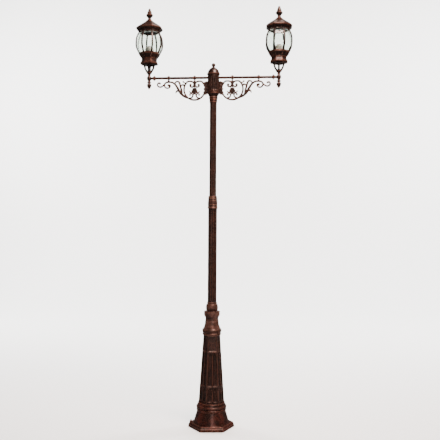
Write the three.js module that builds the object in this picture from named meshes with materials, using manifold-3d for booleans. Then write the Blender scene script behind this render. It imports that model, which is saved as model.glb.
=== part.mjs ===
// A garden street lamp post with two arms and two octagonal lanterns, cast and extruded in
// aluminium with an antique copper finish. Millimetres, +Z up, the crossbar along X, the front
// towards -Y, and the origin under the middle of the foot.
import * as THREE from "three";
import { mergeVertices } from "three/addons/utils/BufferGeometryUtils.js";
import Module from "manifold-3d";

const wasm = await Module();
wasm.setup();

// ---- Clearances and facets -------------------------------------------------------------------
const SEAT = 0.3; // between two pieces that touch
const RUN = 0.8; // round a piece that turns or slides on another
const ROUND = 16; // facets of a large turned piece
const FINE = 12; // facets of a small turned piece

// ---- Base and column -------------------------------------------------------------------------
const CAST_WALL = 6;
const FOOT_HEIGHT = 32;
const FOOT_LEDGE = 38; // from the skirt's bottom edge to a corner of the hexagon
const FOOT_TURN = 6; // degrees that the foot stands turned from the crossbar
const COLUMN_TURN = 10; // degrees that the column stands turned from the crossbar
const SKIRT_HEIGHT = 81;
const SKIRT_FLARE = 24;
const RING_HEIGHT = 59; // the two beads between skirt and column
const RING_PROUD = 9;
const COLUMN_HEIGHT = 460;
const COLUMN_BOTTOM_R = 89;
const COLUMN_TOP_R = 58.4;
const PANELS = 6;
const PANEL_SINK = 3.5;
const PANEL_LAND = 0.12; // of a side's width, left plain at each corner
const CAPITAL_RING_HEIGHT = 57;
const CAPITAL_RING_PROUD = 8.4;
const CAPITAL_NECK_HEIGHT = 62;
const CAPITAL_CUP_HEIGHT = 47;
const BALL_HEIGHT = 63;
const BALL_PROUD = 10;
const ANCHOR_R = 5; // an M10 stud
const ANCHOR_STAND = 18; // from the skirt's bottom edge to a stud's centre
const ANCHORS = 3;

// ---- Tubes -----------------------------------------------------------------------------------
const LOWER_TUBE_R = 31;
const UPPER_TUBE_R = 24.4;
const TUBE_WALL = 3.5;
const FLUTES = 12;
const FLUTE_DEPTH = 1.5;
const LOWER_TUBE_SHOWN = 646;
const UPPER_TUBE_SHOWN = 647;
const TUBE_SOCKET = 60; // how far a tube stands in the capital
const MIDDLE_COLLAR_HEIGHT = 86;
const MIDDLE_COLLAR_WALL = 3.5;
const COUPLER_REACH = 120; // each way from the joint of the tubes
const COUPLER_BORE = 14;
const NECK_COLLAR_HEIGHT = 37;

// ---- Hub -------------------------------------------------------------------------------------
const HUB_R = 40;
const HUB_HEIGHT = 117;
const HUB_WALL = 5;
const BOWL_HEIGHT = 35;
const BOWL_LIP = 2; // the bowl's and dome's lips beyond the hub
const DOME_HEIGHT = 53;
const HUB_FINIAL_HEIGHT = 29;
const HUB_FINIAL_R = 12;
const ROD_R = 4;
const TERMINAL_BLOCK = new THREE.Vector3(46, 18, 24);
const TERMINAL_LIFT = 24; // of the block above the hub's bottom

// ---- Arms ------------------------------------------------------------------------------------
const ARM_REACH = 450;
const BAR_R = 7.5;
const BAR_WALL = 2;
const BAR_DROP = 18.3; // from the hub's top down to the bar's axis
const END_HUB_R = 14.2;
const END_HUB_HEIGHT = 32;
const NIPPLE_R = 5;
const ACORN_HEIGHT = 60;
const CLIP_R = 12;
const CLIP_WIDTH = 18;
const CLIP_FOOT = 18; // from the bar's axis to the clip's foot
const BAR_COLLAR_R = 17;
const BAR_COLLAR_WIDTH = 20;
const BAR_COLLAR_BACK = 37; // from the lantern's axis

// ---- Scroll bracket ----------------------------------------------------------------------------
const SCROLL_RING_R = 73.5; // to the middle of the strand
const SCROLL_RING_GAP = 91; // from the hub's face to the ring's centre
const SCROLL_RING_DROP = 79.7; // from the bar's axis to the ring's centre
const SCROLL_END_BACK = 56; // from the lantern's axis to the bracket's end
const STRAND = 7.6;
const BRACKET_DEPTH = 8;
const SCROLL_BALL_R = 7;

// ---- Lantern (radii of the octagon are to its corners) -----------------------------------------
const SIDES = 8;
const STEM_HEIGHT = 27;
const LEG_HEIGHT = 47;
const LEGS = 4;
const LEG_WIDTH = 11;
const LEG_DEPTH = 8.5;
const FLANGE_R = 64;
const FLANGE_HEIGHT = 18;
const CUP_NECK_R = 53;
const CUP_NECK_HEIGHT = 28;
const CUP_HEIGHT = 32;
const CUP_RIM_R = 75;
const CUP_WALL = 4;
const CAGE_HEIGHT = 155;
const CAGE_BELLY_R = 97.4;
const CAGE_TOP_R = 72.6;
const RIB_WIDTH = 7.5;
const RIB_DEPTH = 7;
const CAGE_RING = 6; // height of the cage's top and bottom rings
const CAGE_LEDGE = 4; // how far the rings reach in past the ribs
const GLASS_WALL = 3;
const HOLDER_R = 21;
const HOLDER_HEIGHT = 36;
const BULB_CAP_R = 13;
const BULB_R = 30;
const BULB_HEIGHT = 106;
const BULB_SEAT = 6; // of the bulb's cap above the holder's foot
const BRIDGE_WIDTH = 12;
const BRIDGE_THICK = 3;
const STUD_R = 4;
const ROOF_HEIGHT = 91;
const EAVE_R = 95.5;
const ROOF_WALL = 4;
const FINIAL_HEIGHT = 72.3;
const FINIAL_R = 23.5;
const FINIAL_BORE_DEPTH = 24;

// ---- Finishes ----------------------------------------------------------------------------------
const FINISHES = {
  copper: { color: 0x3a2018, roughness: 0.45, metalness: 0.6 },
  steel: { color: 0x8f9194, roughness: 0.35, metalness: 0.9 },
  opal: { color: 0xf2f0ea, roughness: 0.4, metalness: 0 },
  porcelain: { color: 0xe4e1d8, roughness: 0.3, metalness: 0 },
  plastic: { color: 0x2b2c2e, roughness: 0.6, metalness: 0 },
  glass: { color: 0xe8f2f2, roughness: 0.05, metalness: 0, transparent: true, opacity: 0.3 },
};

// ---- Solids ------------------------------------------------------------------------------------
/** The closed solid of a three.js geometry. */
function toSolid(geometry) {
  const plain = geometry.index ? geometry.toNonIndexed() : geometry.clone();
  for (const name of Object.keys(plain.attributes)) {
    if (name !== "position") plain.deleteAttribute(name);
  }
  const welded = mergeVertices(plain, 1e-4);
  return new wasm.Manifold(
    new wasm.Mesh({
      numProp: 3,
      vertProperties: welded.attributes.position.array,
      triVerts: new Uint32Array(welded.index.array),
    }),
  );
}

/** The three.js geometry of a solid. */
function toGeometry(solid) {
  const mesh = solid.getMesh();
  const positions = new Float32Array(mesh.numVert * 3);
  for (let i = 0; i < mesh.numVert; i += 1) {
    const start = i * mesh.numProp;
    positions.set(mesh.vertProperties.subarray(start, start + 3), i * 3);
  }
  const geometry = new THREE.BufferGeometry();
  geometry.setAttribute("position", new THREE.BufferAttribute(positions, 3));
  geometry.setIndex(new THREE.BufferAttribute(mesh.triVerts, 1));
  return geometry;
}

const join = (...parts) => toGeometry(parts.map(toSolid).reduce((sum, part) => sum.add(part)));
const cut = (body, ...tools) =>
  toGeometry(tools.map(toSolid).reduce((rest, tool) => rest.subtract(tool), toSolid(body)));

/** A piece turned about Z from [radius, height] pairs that run up its outside. */
function turned(profile, facets = ROUND) {
  const points = profile.map(([r, z]) => new THREE.Vector2(r, z));
  return new THREE.LatheGeometry(points, facets).rotateX(Math.PI / 2);
}

/** A solid turned piece, closed on the axis. */
function turnedSolid(profile, facets) {
  const [bottom, top] = [profile[0][1], profile.at(-1)[1]];
  return turned([[0, bottom], ...profile, [0, top]], facets);
}

/** A turned ring between an outside and an inside profile, both running up. */
function turnedRing(outside, inside, facets) {
  return turned([...outside, ...inside.toReversed(), outside[0]], facets);
}

/** A ring with a plain round bore. */
function boredRing(outside, bore, facets) {
  return turnedRing(outside, [[bore, outside[0][1]], [bore, outside.at(-1)[1]]], facets);
}

/** The same profile moved inwards by a wall. */
const inset = (profile, wall) => profile.map(([r, z]) => [r - wall, z]);

/** The points of a half-round bead between two heights. */
function bead(radius, from, to, proud, steps = 3) {
  return Array.from({ length: steps + 1 }, (_, i) => {
    const angle = (Math.PI * i) / steps;
    return [radius + proud * Math.sin(angle), (from + to) / 2 - ((to - from) / 2) * Math.cos(angle)];
  });
}

/** The corner radius of a faceted bore that clears a round piece by a gap. */
const boreFor = (radius, gap, facets = ROUND) => (radius + gap) / Math.cos(Math.PI / facets);

/** A plain round bar along Z. */
const rod = (radius, from, to, facets = FINE) => turnedSolid([[radius, from], [radius, to]], facets);

/** An octagonal piece, turned so that a flat side faces the front. */
const octagonal = (geometry) => geometry.rotateZ(Math.PI / SIDES);

/** A closed skin through rings of points, each ring as long as the others, from bottom to top. */
function lofted(rings) {
  const count = rings[0].length;
  const positions = rings.flat().flatMap((p) => [p.x, p.y, p.z]);
  const [bottom, top] = [rings.length * count, rings.length * count + 1];
  positions.push(0, 0, rings[0][0].z, 0, 0, rings.at(-1)[0].z);
  const faces = [];
  for (let i = 0; i < count; i += 1) {
    const next = (i + 1) % count;
    faces.push(bottom, next, i);
    for (let level = 0; level < rings.length - 1; level += 1) {
      const [low, high] = [level * count, (level + 1) * count];
      faces.push(low + i, low + next, high + next, low + i, high + next, high + i);
    }
    const last = (rings.length - 1) * count;
    faces.push(top, last + i, last + next);
  }
  const geometry = new THREE.BufferGeometry();
  geometry.setAttribute("position", new THREE.Float32BufferAttribute(positions, 3));
  geometry.setIndex(faces);
  return geometry;
}

/** A ring of points round Z with sunk flutes; land and slope are shares of one flute's width. */
function flutedRing(radius, sink, z) {
  const [land, slope] = [0.3, 0.2];
  const steps = [[0, 0], [land, 0], [land + slope, sink], [1 - slope, sink]];
  return Array.from({ length: FLUTES }, (_, i) => i).flatMap((i) =>
    steps.map(([share, depth]) => {
      const angle = ((i + share) * 2 * Math.PI) / FLUTES;
      return new THREE.Vector3(
        (radius - depth) * Math.cos(angle),
        (radius - depth) * Math.sin(angle),
        z,
      );
    }),
  );
}

/** A fluted tube from z 0 up to its length. */
function flutedTube(radius, length) {
  const ring = (z) => flutedRing(radius, FLUTE_DEPTH, z);
  const bore = rod(boreFor(tubeBore(radius), 0), -1, length + 1, ROUND);
  return cut(lofted([ring(0), ring(length)]), bore);
}

const tubeBore = (radius) => radius - FLUTE_DEPTH - TUBE_WALL;

// ---- The scene graph -----------------------------------------------------------------------------
const lampPost = new THREE.Group();

/** Adds one named piece to a group, at a height, with a material of its own. */
function place(group, name, finish, geometry, z = 0, x = 0) {
  const piece = new THREE.Mesh(geometry, new THREE.MeshStandardMaterial(FINISHES[finish]));
  piece.name = name;
  piece.position.set(x, 0, z);
  group.add(piece);
  return piece;
}

// ---- Base and column -------------------------------------------------------------------------
const RING_TOP_R = COLUMN_BOTTOM_R + 2;
const SKIRT_TOP_R = COLUMN_BOTTOM_R + 9;
const SKIRT_BOTTOM_R = SKIRT_TOP_R + SKIRT_FLARE;
const FOOT_CORNER_R = SKIRT_BOTTOM_R + FOOT_LEDGE;
const ANCHOR_CIRCLE_R = SKIRT_BOTTOM_R + ANCHOR_STAND;
const BASE_HEIGHT = FOOT_HEIGHT + SKIRT_HEIGHT + RING_HEIGHT;
const FOOT_ANGLE = THREE.MathUtils.degToRad(FOOT_TURN);

/** The radius of the column's bore where its corners have this radius. */
const columnBore = (corner) => corner * Math.cos(Math.PI / PANELS) - PANEL_SINK - CAST_WALL;

/** The places of the anchor studs, on every other corner of the hexagon. */
function anchorPlaces() {
  return Array.from({ length: ANCHORS }, (_, i) => {
    const angle = Math.PI + FOOT_ANGLE + (i * 2 * Math.PI) / ANCHORS;
    return new THREE.Vector2(Math.cos(angle), Math.sin(angle)).multiplyScalar(ANCHOR_CIRCLE_R);
  });
}

/** The foot, skirt and beaded ring, cast in one and hollow underneath. */
function baseCasting() {
  const step = FOOT_HEIGHT / 2;
  const plate = turnedSolid(
    [
      [FOOT_CORNER_R, 0],
      [FOOT_CORNER_R, step],
      [FOOT_CORNER_R - 5, step + 4],
      [FOOT_CORNER_R - 8, FOOT_HEIGHT],
    ],
    PANELS,
  ).rotateZ(Math.PI / PANELS + FOOT_ANGLE);
  const skirtTop = FOOT_HEIGHT + SKIRT_HEIGHT;
  const middle = skirtTop + RING_HEIGHT / 2;
  const body = turnedSolid([
    [SKIRT_BOTTOM_R, step],
    [SKIRT_BOTTOM_R, FOOT_HEIGHT],
    [SKIRT_TOP_R, skirtTop],
    ...bead(SKIRT_TOP_R - 4, skirtTop + 4, middle - 8, RING_PROUD),
    ...bead(SKIRT_TOP_R - 4, middle - 6, middle + 12, RING_PROUD + 1),
    [RING_TOP_R + 2, BASE_HEIGHT - 6],
    [RING_TOP_R, BASE_HEIGHT],
  ]);
  const hollow = turnedSolid([
    [SKIRT_BOTTOM_R - CAST_WALL, -1],
    [SKIRT_BOTTOM_R - CAST_WALL, FOOT_HEIGHT],
    [SKIRT_TOP_R - CAST_WALL - 4, skirtTop],
    [columnBore(COLUMN_BOTTOM_R), BASE_HEIGHT - CAST_WALL],
    [columnBore(COLUMN_BOTTOM_R), BASE_HEIGHT + 1],
  ]);
  const holes = anchorPlaces().map(({ x, y }) =>
    rod(boreFor(ANCHOR_R, RUN, FINE), -1, FOOT_HEIGHT + 1).translate(x, y, 0),
  );
  return cut(join(plate, body), hollow, ...holes);
}

/** A hexagonal ring of the column, its sides sunk between plain corners. */
function panelRing(radius, sink, z) {
  const corner = (i) => {
    const angle = (i * 2 * Math.PI) / PANELS;
    return new THREE.Vector3(radius * Math.cos(angle), radius * Math.sin(angle), z);
  };
  const slope = 0.04;
  const steps = [
    [0, 0],
    [PANEL_LAND, 0],
    [PANEL_LAND + slope, sink],
    [1 - PANEL_LAND - slope, sink],
    [1 - PANEL_LAND, 0],
  ];
  return Array.from({ length: PANELS }, (_, i) => i).flatMap((i) => {
    const [from, to] = [corner(i), corner(i + 1)];
    const inward = from.clone().add(to).setZ(0).normalize().negate();
    return steps.map(([share, depth]) =>
      from.clone().lerp(to, share).addScaledVector(inward, depth),
    );
  });
}

/** The tapered six-sided column with its sunk panels, hollow all through. */
function columnShaft() {
  const radiusAt = (z) => THREE.MathUtils.lerp(COLUMN_BOTTOM_R, COLUMN_TOP_R, z / COLUMN_HEIGHT);
  const land = 10; // plain band left above and below the panels
  const levels = [
    [0, 0],
    [land, 0],
    [land + 3, PANEL_SINK],
    [COLUMN_HEIGHT - land - 3, PANEL_SINK],
    [COLUMN_HEIGHT - land, 0],
    [COLUMN_HEIGHT, 0],
  ];
  const outside = lofted(levels.map(([z, sink]) => panelRing(radiusAt(z), sink, z)));
  const over = 1;
  const hollow = turnedSolid([
    [columnBore(radiusAt(-over)), -over],
    [columnBore(radiusAt(COLUMN_HEIGHT + over)), COLUMN_HEIGHT + over],
  ]);
  return cut(outside, hollow).rotateZ(THREE.MathUtils.degToRad(COLUMN_TURN));
}

const CAPITAL_HEIGHT = CAPITAL_RING_HEIGHT + CAPITAL_NECK_HEIGHT + CAPITAL_CUP_HEIGHT;

/** The column's head: two beads, a waisted neck and the cup that the tube stands in. */
function columnCapital() {
  const neck = CAPITAL_RING_HEIGHT;
  const cup = neck + CAPITAL_NECK_HEIGHT;
  const waist = LOWER_TUBE_R + 13.6;
  const outside = [
    [COLUMN_TOP_R + 2, 0],
    ...bead(COLUMN_TOP_R, 3, 18, CAPITAL_RING_PROUD - 3),
    ...bead(COLUMN_TOP_R, 18, 40, CAPITAL_RING_PROUD),
    [COLUMN_TOP_R - 3, neck - 6],
    [COLUMN_TOP_R - 5.4, neck],
    [waist, cup - 4],
    [waist, cup],
    [LOWER_TUBE_R + 18, cup + 14],
    [LOWER_TUBE_R + 24, CAPITAL_HEIGHT - 8],
    [LOWER_TUBE_R + 24, CAPITAL_HEIGHT],
  ];
  const socket = CAPITAL_HEIGHT - TUBE_SOCKET;
  const inside = [
    [columnBore(COLUMN_TOP_R), 0],
    [columnBore(COLUMN_TOP_R) - 2, neck],
    [LOWER_TUBE_R + 4, socket - 6],
    [tubeBore(LOWER_TUBE_R), socket - 3],
    [tubeBore(LOWER_TUBE_R), socket],
    [boreFor(LOWER_TUBE_R, SEAT), socket],
    [boreFor(LOWER_TUBE_R, SEAT), CAPITAL_HEIGHT],
  ];
  return turnedRing(outside, inside);
}

/** The turned collar that stands on the capital, round the tube. */
function ballCollar() {
  const foot = LOWER_TUBE_R + 2.5;
  const ball = BALL_HEIGHT - 17;
  return boredRing(
    [...bead(foot, 0, ball, BALL_PROUD - 2.5, 6), ...bead(foot, ball + 1, BALL_HEIGHT, 1.5)],
    boreFor(LOWER_TUBE_R, SEAT),
  );
}

let level = 0; // where the next piece of the stack stands
place(lampPost, "base_casting", "copper", baseCasting(), level);
level += BASE_HEIGHT + SEAT;
place(lampPost, "column_shaft", "copper", columnShaft(), level);
level += COLUMN_HEIGHT + SEAT;
place(lampPost, "column_capital", "copper", columnCapital(), level);
level += CAPITAL_HEIGHT + SEAT;
place(lampPost, "ball_collar", "copper", ballCollar(), level);
level += BALL_HEIGHT;

/** A hexagonal nut with its thread bore. */
function hexNut(bore, height) {
  const across = bore * 1.8;
  const hexagon = turnedSolid([[across, 0], [across, height]], 6);
  return cut(hexagon, rod(boreFor(bore, SEAT, FINE), -1, height + 1));
}

const WASHER_HEIGHT = 2;
const NUT_HEIGHT = 8;
anchorPlaces().forEach(({ x, y }, i) => {
  const anchor = new THREE.Group();
  anchor.position.set(x, y, 0);
  lampPost.add(anchor);
  const washer = boredRing(
    [[ANCHOR_R * 1.9, 0], [ANCHOR_R * 1.9, WASHER_HEIGHT]],
    boreFor(ANCHOR_R, SEAT, FINE),
    FINE,
  );
  const washerZ = FOOT_HEIGHT + SEAT;
  const nutZ = washerZ + WASHER_HEIGHT + SEAT;
  place(anchor, `anchor_stud_${i + 1}`, "copper", rod(ANCHOR_R, 0.5, nutZ + NUT_HEIGHT + 6, 10));
  place(anchor, `anchor_washer_${i + 1}`, "copper", washer, washerZ);
  place(anchor, `anchor_nut_${i + 1}`, "copper", hexNut(ANCHOR_R, NUT_HEIGHT), nutZ);
});

// ---- Tubes -----------------------------------------------------------------------------------
const TUBE_STEP = MIDDLE_COLLAR_HEIGHT * 0.45; // of the collar's height, where the tubes meet

/** The collar over the joint of the two tubes, with five beads. */
function middleCollar() {
  const wide = LOWER_TUBE_R + MIDDLE_COLLAR_WALL;
  const lip = 3;
  const outside = [
    ...bead(wide, 0, 7, lip, 2),
    [wide - 1.5, 14],
    [wide - 1.5, 20],
    ...bead(wide - 1.5, 20, 29, 2.5, 2),
    ...bead(wide - 1.5, 29, 50, 3),
    ...bead(wide - 1.5, 50, 58, 2.5, 2),
    [wide - 3, 62],
    ...bead(wide - 3, 64, 72, 2.5, 2),
    ...bead(wide - 4, 74, MIDDLE_COLLAR_HEIGHT, 2, 2),
  ];
  const inside = [
    [boreFor(LOWER_TUBE_R, SEAT), 0],
    [boreFor(LOWER_TUBE_R, SEAT), TUBE_STEP],
    [boreFor(UPPER_TUBE_R, SEAT), TUBE_STEP],
    [boreFor(UPPER_TUBE_R, SEAT), MIDDLE_COLLAR_HEIGHT],
  ];
  return turnedRing(outside, inside);
}

/** The stepped sleeve inside both tubes that carries the upper one. */
function tubeCoupler() {
  const wide = tubeBore(LOWER_TUBE_R) - SEAT;
  const slim = tubeBore(UPPER_TUBE_R) - SEAT;
  return boredRing(
    [[wide, -COUPLER_REACH], [wide, 0], [slim, 0], [slim, COUPLER_REACH]],
    COUPLER_BORE,
    FINE,
  );
}

/** The two rings under the hub that it turns on. */
function neckCollar() {
  const foot = UPPER_TUBE_R + 2;
  return boredRing(
    [...bead(foot, 0, 24, 2.5), ...bead(foot, 25, NECK_COLLAR_HEIGHT, 5.6)],
    boreFor(UPPER_TUBE_R, SEAT),
  );
}

const lowerTubeFoot = level - BALL_HEIGHT - SEAT - TUBE_SOCKET + SEAT;
level += LOWER_TUBE_SHOWN;
const tubeJoint = level + TUBE_STEP - SEAT;
place(
  lampPost,
  "lower_tube",
  "copper",
  flutedTube(LOWER_TUBE_R, tubeJoint - lowerTubeFoot),
  lowerTubeFoot,
);
place(lampPost, "middle_collar", "copper", middleCollar(), level);
place(lampPost, "tube_coupler", "steel", tubeCoupler(), tubeJoint);
level += MIDDLE_COLLAR_HEIGHT + UPPER_TUBE_SHOWN;
const BOWL_WEB = 12; // height of the web across the bowl
const upperTubeTop = level + NECK_COLLAR_HEIGHT + BOWL_HEIGHT - BOWL_WEB - RUN;
place(
  lampPost,
  "upper_tube",
  "copper",
  flutedTube(UPPER_TUBE_R, upperTubeTop - tubeJoint - SEAT),
  tubeJoint + SEAT,
);
place(lampPost, "neck_collar", "copper", neckCollar(), level);
level += NECK_COLLAR_HEIGHT + SEAT;

// ---- Hub -------------------------------------------------------------------------------------
const HUB_BORE = HUB_R - HUB_WALL;
const LIP_R = HUB_R + BOWL_LIP;

/** The bowl that sits over the tube's top, with a web across it for the tie rod. */
function hubBowl() {
  const webFoot = BOWL_HEIGHT - BOWL_WEB;
  const neck = UPPER_TUBE_R + 5.6;
  const shell = turnedRing(
    [
      [neck, 0],
      [neck + 1, 7],
      [LIP_R - 5, 18],
      [LIP_R, BOWL_HEIGHT - 7],
      [LIP_R, BOWL_HEIGHT],
    ],
    [
      [boreFor(UPPER_TUBE_R, RUN), 0],
      [boreFor(UPPER_TUBE_R, RUN), webFoot],
      [HUB_BORE - 4, webFoot + 3],
      [HUB_BORE - 4, BOWL_HEIGHT],
    ],
  );
  const web = new THREE.BoxGeometry(2 * HUB_BORE - 6, 14, BOWL_WEB - 2);
  web.translate(0, 0, webFoot + (BOWL_WEB - 2) / 2);
  return cut(join(shell, web), rod(boreFor(ROD_R, SEAT, FINE), webFoot - 1, BOWL_HEIGHT));
}

/** The hub's barrel, with a hole each side for the crossbar's halves. */
function hubBody() {
  const barrel = boredRing([[HUB_R, 0], [HUB_R, HUB_HEIGHT]], HUB_BORE);
  const hole = rod(boreFor(BAR_R, SEAT, FINE), -HUB_R - 1, HUB_R + 1).rotateY(Math.PI / 2);
  return cut(barrel, hole.translate(0, 0, HUB_HEIGHT - BAR_DROP));
}

/** The dome's outline, from its lip to the finial's seat. */
function domeOutside() {
  return [
    [LIP_R + 2, 0],
    [LIP_R + 2, 8],
    [LIP_R, 10],
    [HUB_R - 2, 24],
    [HUB_R - 9, 38],
    [HUB_R - 20, 48],
    [ROD_R + 5, DOME_HEIGHT],
  ];
}

/** The dome that closes the hub, with a hole for the tie rod. */
function hubDome() {
  const inside = [
    [HUB_BORE, 0],
    [HUB_BORE, 8],
    [HUB_BORE - 2, 22],
    [HUB_BORE - 10, 34],
    [HUB_BORE - 20, 42],
    [boreFor(ROD_R, SEAT), 45],
    [boreFor(ROD_R, SEAT), DOME_HEIGHT],
  ];
  return turnedRing(domeOutside(), inside);
}

/** A knob with a blind bore for the stud that it screws on. */
function knob(profile, bore, depth) {
  return cut(turnedSolid(profile, FINE), rod(boreFor(bore, SEAT, FINE), -1, depth));
}

/** The stud that holds bowl, barrel, dome and finial together, with a seat for the terminals. */
function tieRod(foot, top, seat) {
  return turnedSolid(
    [
      [ROD_R, foot],
      [ROD_R, seat - 3],
      [ROD_R * 2.2, seat - 3],
      [ROD_R * 2.2, seat],
      [ROD_R, seat],
      [ROD_R, top],
    ],
    FINE,
  );
}

const head = new THREE.Group();
head.position.z = level;
lampPost.add(head);
const hubZ = BOWL_HEIGHT + SEAT;
const domeZ = hubZ + HUB_HEIGHT + SEAT;
const hubFinialZ = domeZ + DOME_HEIGHT + SEAT;
const barZ = hubZ + HUB_HEIGHT - BAR_DROP;
const terminalZ = hubZ + TERMINAL_LIFT;
place(head, "hub_bowl", "copper", hubBowl());
place(head, "hub_body", "copper", hubBody(), hubZ);
place(head, "hub_dome", "copper", hubDome(), domeZ);
place(
  head,
  "hub_finial",
  "copper",
  knob(
    [
      [ROD_R + 4, 0],
      ...bead(ROD_R + 2, 2, HUB_FINIAL_HEIGHT - 4, HUB_FINIAL_R - ROD_R - 2, 6),
      [2, HUB_FINIAL_HEIGHT],
    ],
    ROD_R,
    14,
  ),
  hubFinialZ,
);
place(
  head,
  "hub_tie_rod",
  "steel",
  tieRod(BOWL_HEIGHT - BOWL_WEB + 2, hubFinialZ + 12, terminalZ),
);
const terminalBlock = new THREE.BoxGeometry(...TERMINAL_BLOCK.toArray());
terminalBlock.translate(0, 0, TERMINAL_BLOCK.z / 2);
place(
  head,
  "terminal_block",
  "plastic",
  cut(terminalBlock, rod(boreFor(ROD_R, SEAT, FINE), -1, TERMINAL_BLOCK.z + 1)),
  terminalZ + SEAT,
);

// ---- Scroll bracket ----------------------------------------------------------------------------
const RING_X = HUB_R + SCROLL_RING_GAP;
const NOMINAL_SCROLL_END = 263; // of the points below, from the ring's centre
const scrollEnd = ARM_REACH - SCROLL_END_BACK - RING_X;
const CLIP_PAD = SCROLL_RING_DROP - CLIP_FOOT - SEAT; // the pads' tops above the ring's centre

/** A point of the bracket, from its ring's centre; past the ring it stretches with the arm. */
function scrollPoint([x, z]) {
  const stretch = (scrollEnd - SCROLL_RING_R) / (NOMINAL_SCROLL_END - SCROLL_RING_R);
  const far = x > SCROLL_RING_R ? SCROLL_RING_R + (x - SCROLL_RING_R) * stretch : x;
  return new THREE.Vector2(far, z);
}

/** An outline extruded through the bracket's depth, standing in the plane of the bar. */
function flatPiece(points, depth = BRACKET_DEPTH) {
  const shape = new THREE.Shape(points);
  const plate = new THREE.ExtrudeGeometry(shape, { depth, bevelEnabled: false });
  return plate.translate(0, 0, -depth / 2).rotateX(Math.PI / 2);
}

/** A strand of even or tapering width along a smooth line through points. */
function strand(points, steps, from = STRAND, to = from) {
  const curve = new THREE.SplineCurve(points.map(scrollPoint));
  const left = [];
  const right = [];
  for (let i = 0; i <= steps; i += 1) {
    const t = i / steps;
    const middle = curve.getPoint(t);
    const along = curve.getTangent(t);
    const half = THREE.MathUtils.lerp(from, to, t) / 2;
    const across = new THREE.Vector2(-along.y, along.x).multiplyScalar(half);
    left.push(middle.clone().add(across));
    right.push(middle.clone().sub(across));
  }
  return flatPiece([...left, ...right.reverse()]);
}

/** A round boss at a scroll's end. */
function scrollBall(point, radius = SCROLL_BALL_R) {
  const { x, y } = scrollPoint(point);
  return rod(radius, -BRACKET_DEPTH / 2 - 1, BRACKET_DEPTH / 2 + 1, 6)
    .rotateX(Math.PI / 2)
    .translate(x, 0, y);
}

const mirrored = (points) => points.map(([x, z]) => [-x, z]);

/** The ring's open circle, from beside one hump, round the bottom, to beside the other. */
function ringArc() {
  const start = THREE.MathUtils.degToRad(48);
  const sweep = 2 * Math.PI - (Math.PI - 2 * start);
  return Array.from({ length: 19 }, (_, i) => {
    const angle = start - (sweep * i) / 18;
    return [SCROLL_RING_R * Math.cos(angle), SCROLL_RING_R * Math.sin(angle)];
  });
}

/** The whole scroll bracket as one flat casting. */
function scrollBracket() {
  const hump = [
    [49, 54.5], [34, 56], [16, 52], [6, 44], [5, 30],
    [12, 20], [23, 17], [31, 24], [29, 32],
  ];
  const main = [[40, -64], [78, -44], [101, -20], [118, 10], [136, 36], [156, 50]];
  const curl = [[-38, -62], [-22, -58], [-13, -46], [-16, -34], [-26, -27], [-33, -36]];
  const pad = CLIP_PAD;
  const clipX = 181;
  const pieces = [
    strand(ringArc(), 18),
    strand(hump, 7),
    strand(mirrored(hump), 7),
    scrollBall([29, 32]),
    scrollBall([-29, 32]),
    strand(curl, 5, STRAND, 5),
    strand(mirrored(curl), 5, STRAND, 5),
    scrollBall([-32, -37], 5.5),
    scrollBall([32, -37], 5.5),
    strand([[0, pad], [0, 12]], 1, 11, 16),
    flatPiece([[-12, 12], [12, 12], [17, -12], [4, -30], [-4, -30], [-17, -12]].map(scrollPoint)),
    strand([[12, -17], [22, -22], [33, -18]], 2, 8, 3),
    strand([[-12, -17], [-22, -22], [-33, -18]], 2, 8, 3),
    strand([[-13, -46], [0, -24], [13, -46]], 2, 5),
    strand([...main, [clipX, 53]], 6, 11, STRAND),
    strand([[clipX, 53], [200, 49], [211, 36], [209, 20], [190, 9], [173, 17], [170, 30], [180, 34]], 8),
    scrollBall([182, 30], 8),
    strand([[204, 46], [216, 32], [236, 19], [254, 22], [260, 36], [251, 48], [240, 44]], 7),
    scrollBall([241, 43], 6),
    strand([[clipX, pad], [clipX, 48]], 1, 11),
    strand([[138, 36], [133, 50], [120, 56], [108, 50], [98, 16], [84, -34]], 6, STRAND, 6),
    strand([[68, 20], [80, 31], [98, 20]], 3, 9, 5),
    strand([[54, 44], [68, 44], [78, 52]], 3, 6, 5),
    scrollBall([79, 53], 6),
    strand([[100, -16], [118, -6], [132, -26]], 3, 12, 3),
    flatPiece(hubEar()),
  ];
  return join(...pieces);
}

/** The lobed plate between the ring and the hub. */
function hubEar() {
  const face = HUB_R + SEAT - RING_X;
  const lip = LIP_R + SEAT - RING_X;
  const bottom = SCROLL_RING_DROP + BAR_DROP - HUB_HEIGHT; // the hub's bottom, from the ring's centre
  const lobes = [[-66, 24], [-74, 14], [-66, 2], [-70, -12], [-64, -28]];
  return [
    [face, 50],
    [-84, 52],
    [-62, 44],
    ...lobes,
    [lip + 2, bottom - 6],
    [lip, bottom - 4],
    [lip, bottom + 1],
    [face, bottom + 1],
  ]
    .reverse()
    .map(([x, z]) => new THREE.Vector2(x, z));
}

// ---- Arms ------------------------------------------------------------------------------------
/** A clip round the bar, with a short tapered foot that stands on the bracket. */
function barClip() {
  const band = rod(CLIP_R, -CLIP_WIDTH / 2, CLIP_WIDTH / 2, 12).rotateY(Math.PI / 2);
  const foot = flatPiece(
    [[-7, -6], [-5, -CLIP_FOOT], [5, -CLIP_FOOT], [7, -6]].map(([x, z]) => new THREE.Vector2(x, z)),
  );
  const bore = rod(boreFor(BAR_R, SEAT, FINE), -CLIP_WIDTH, CLIP_WIDTH).rotateY(Math.PI / 2);
  return cut(join(band, foot), bore);
}

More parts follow.
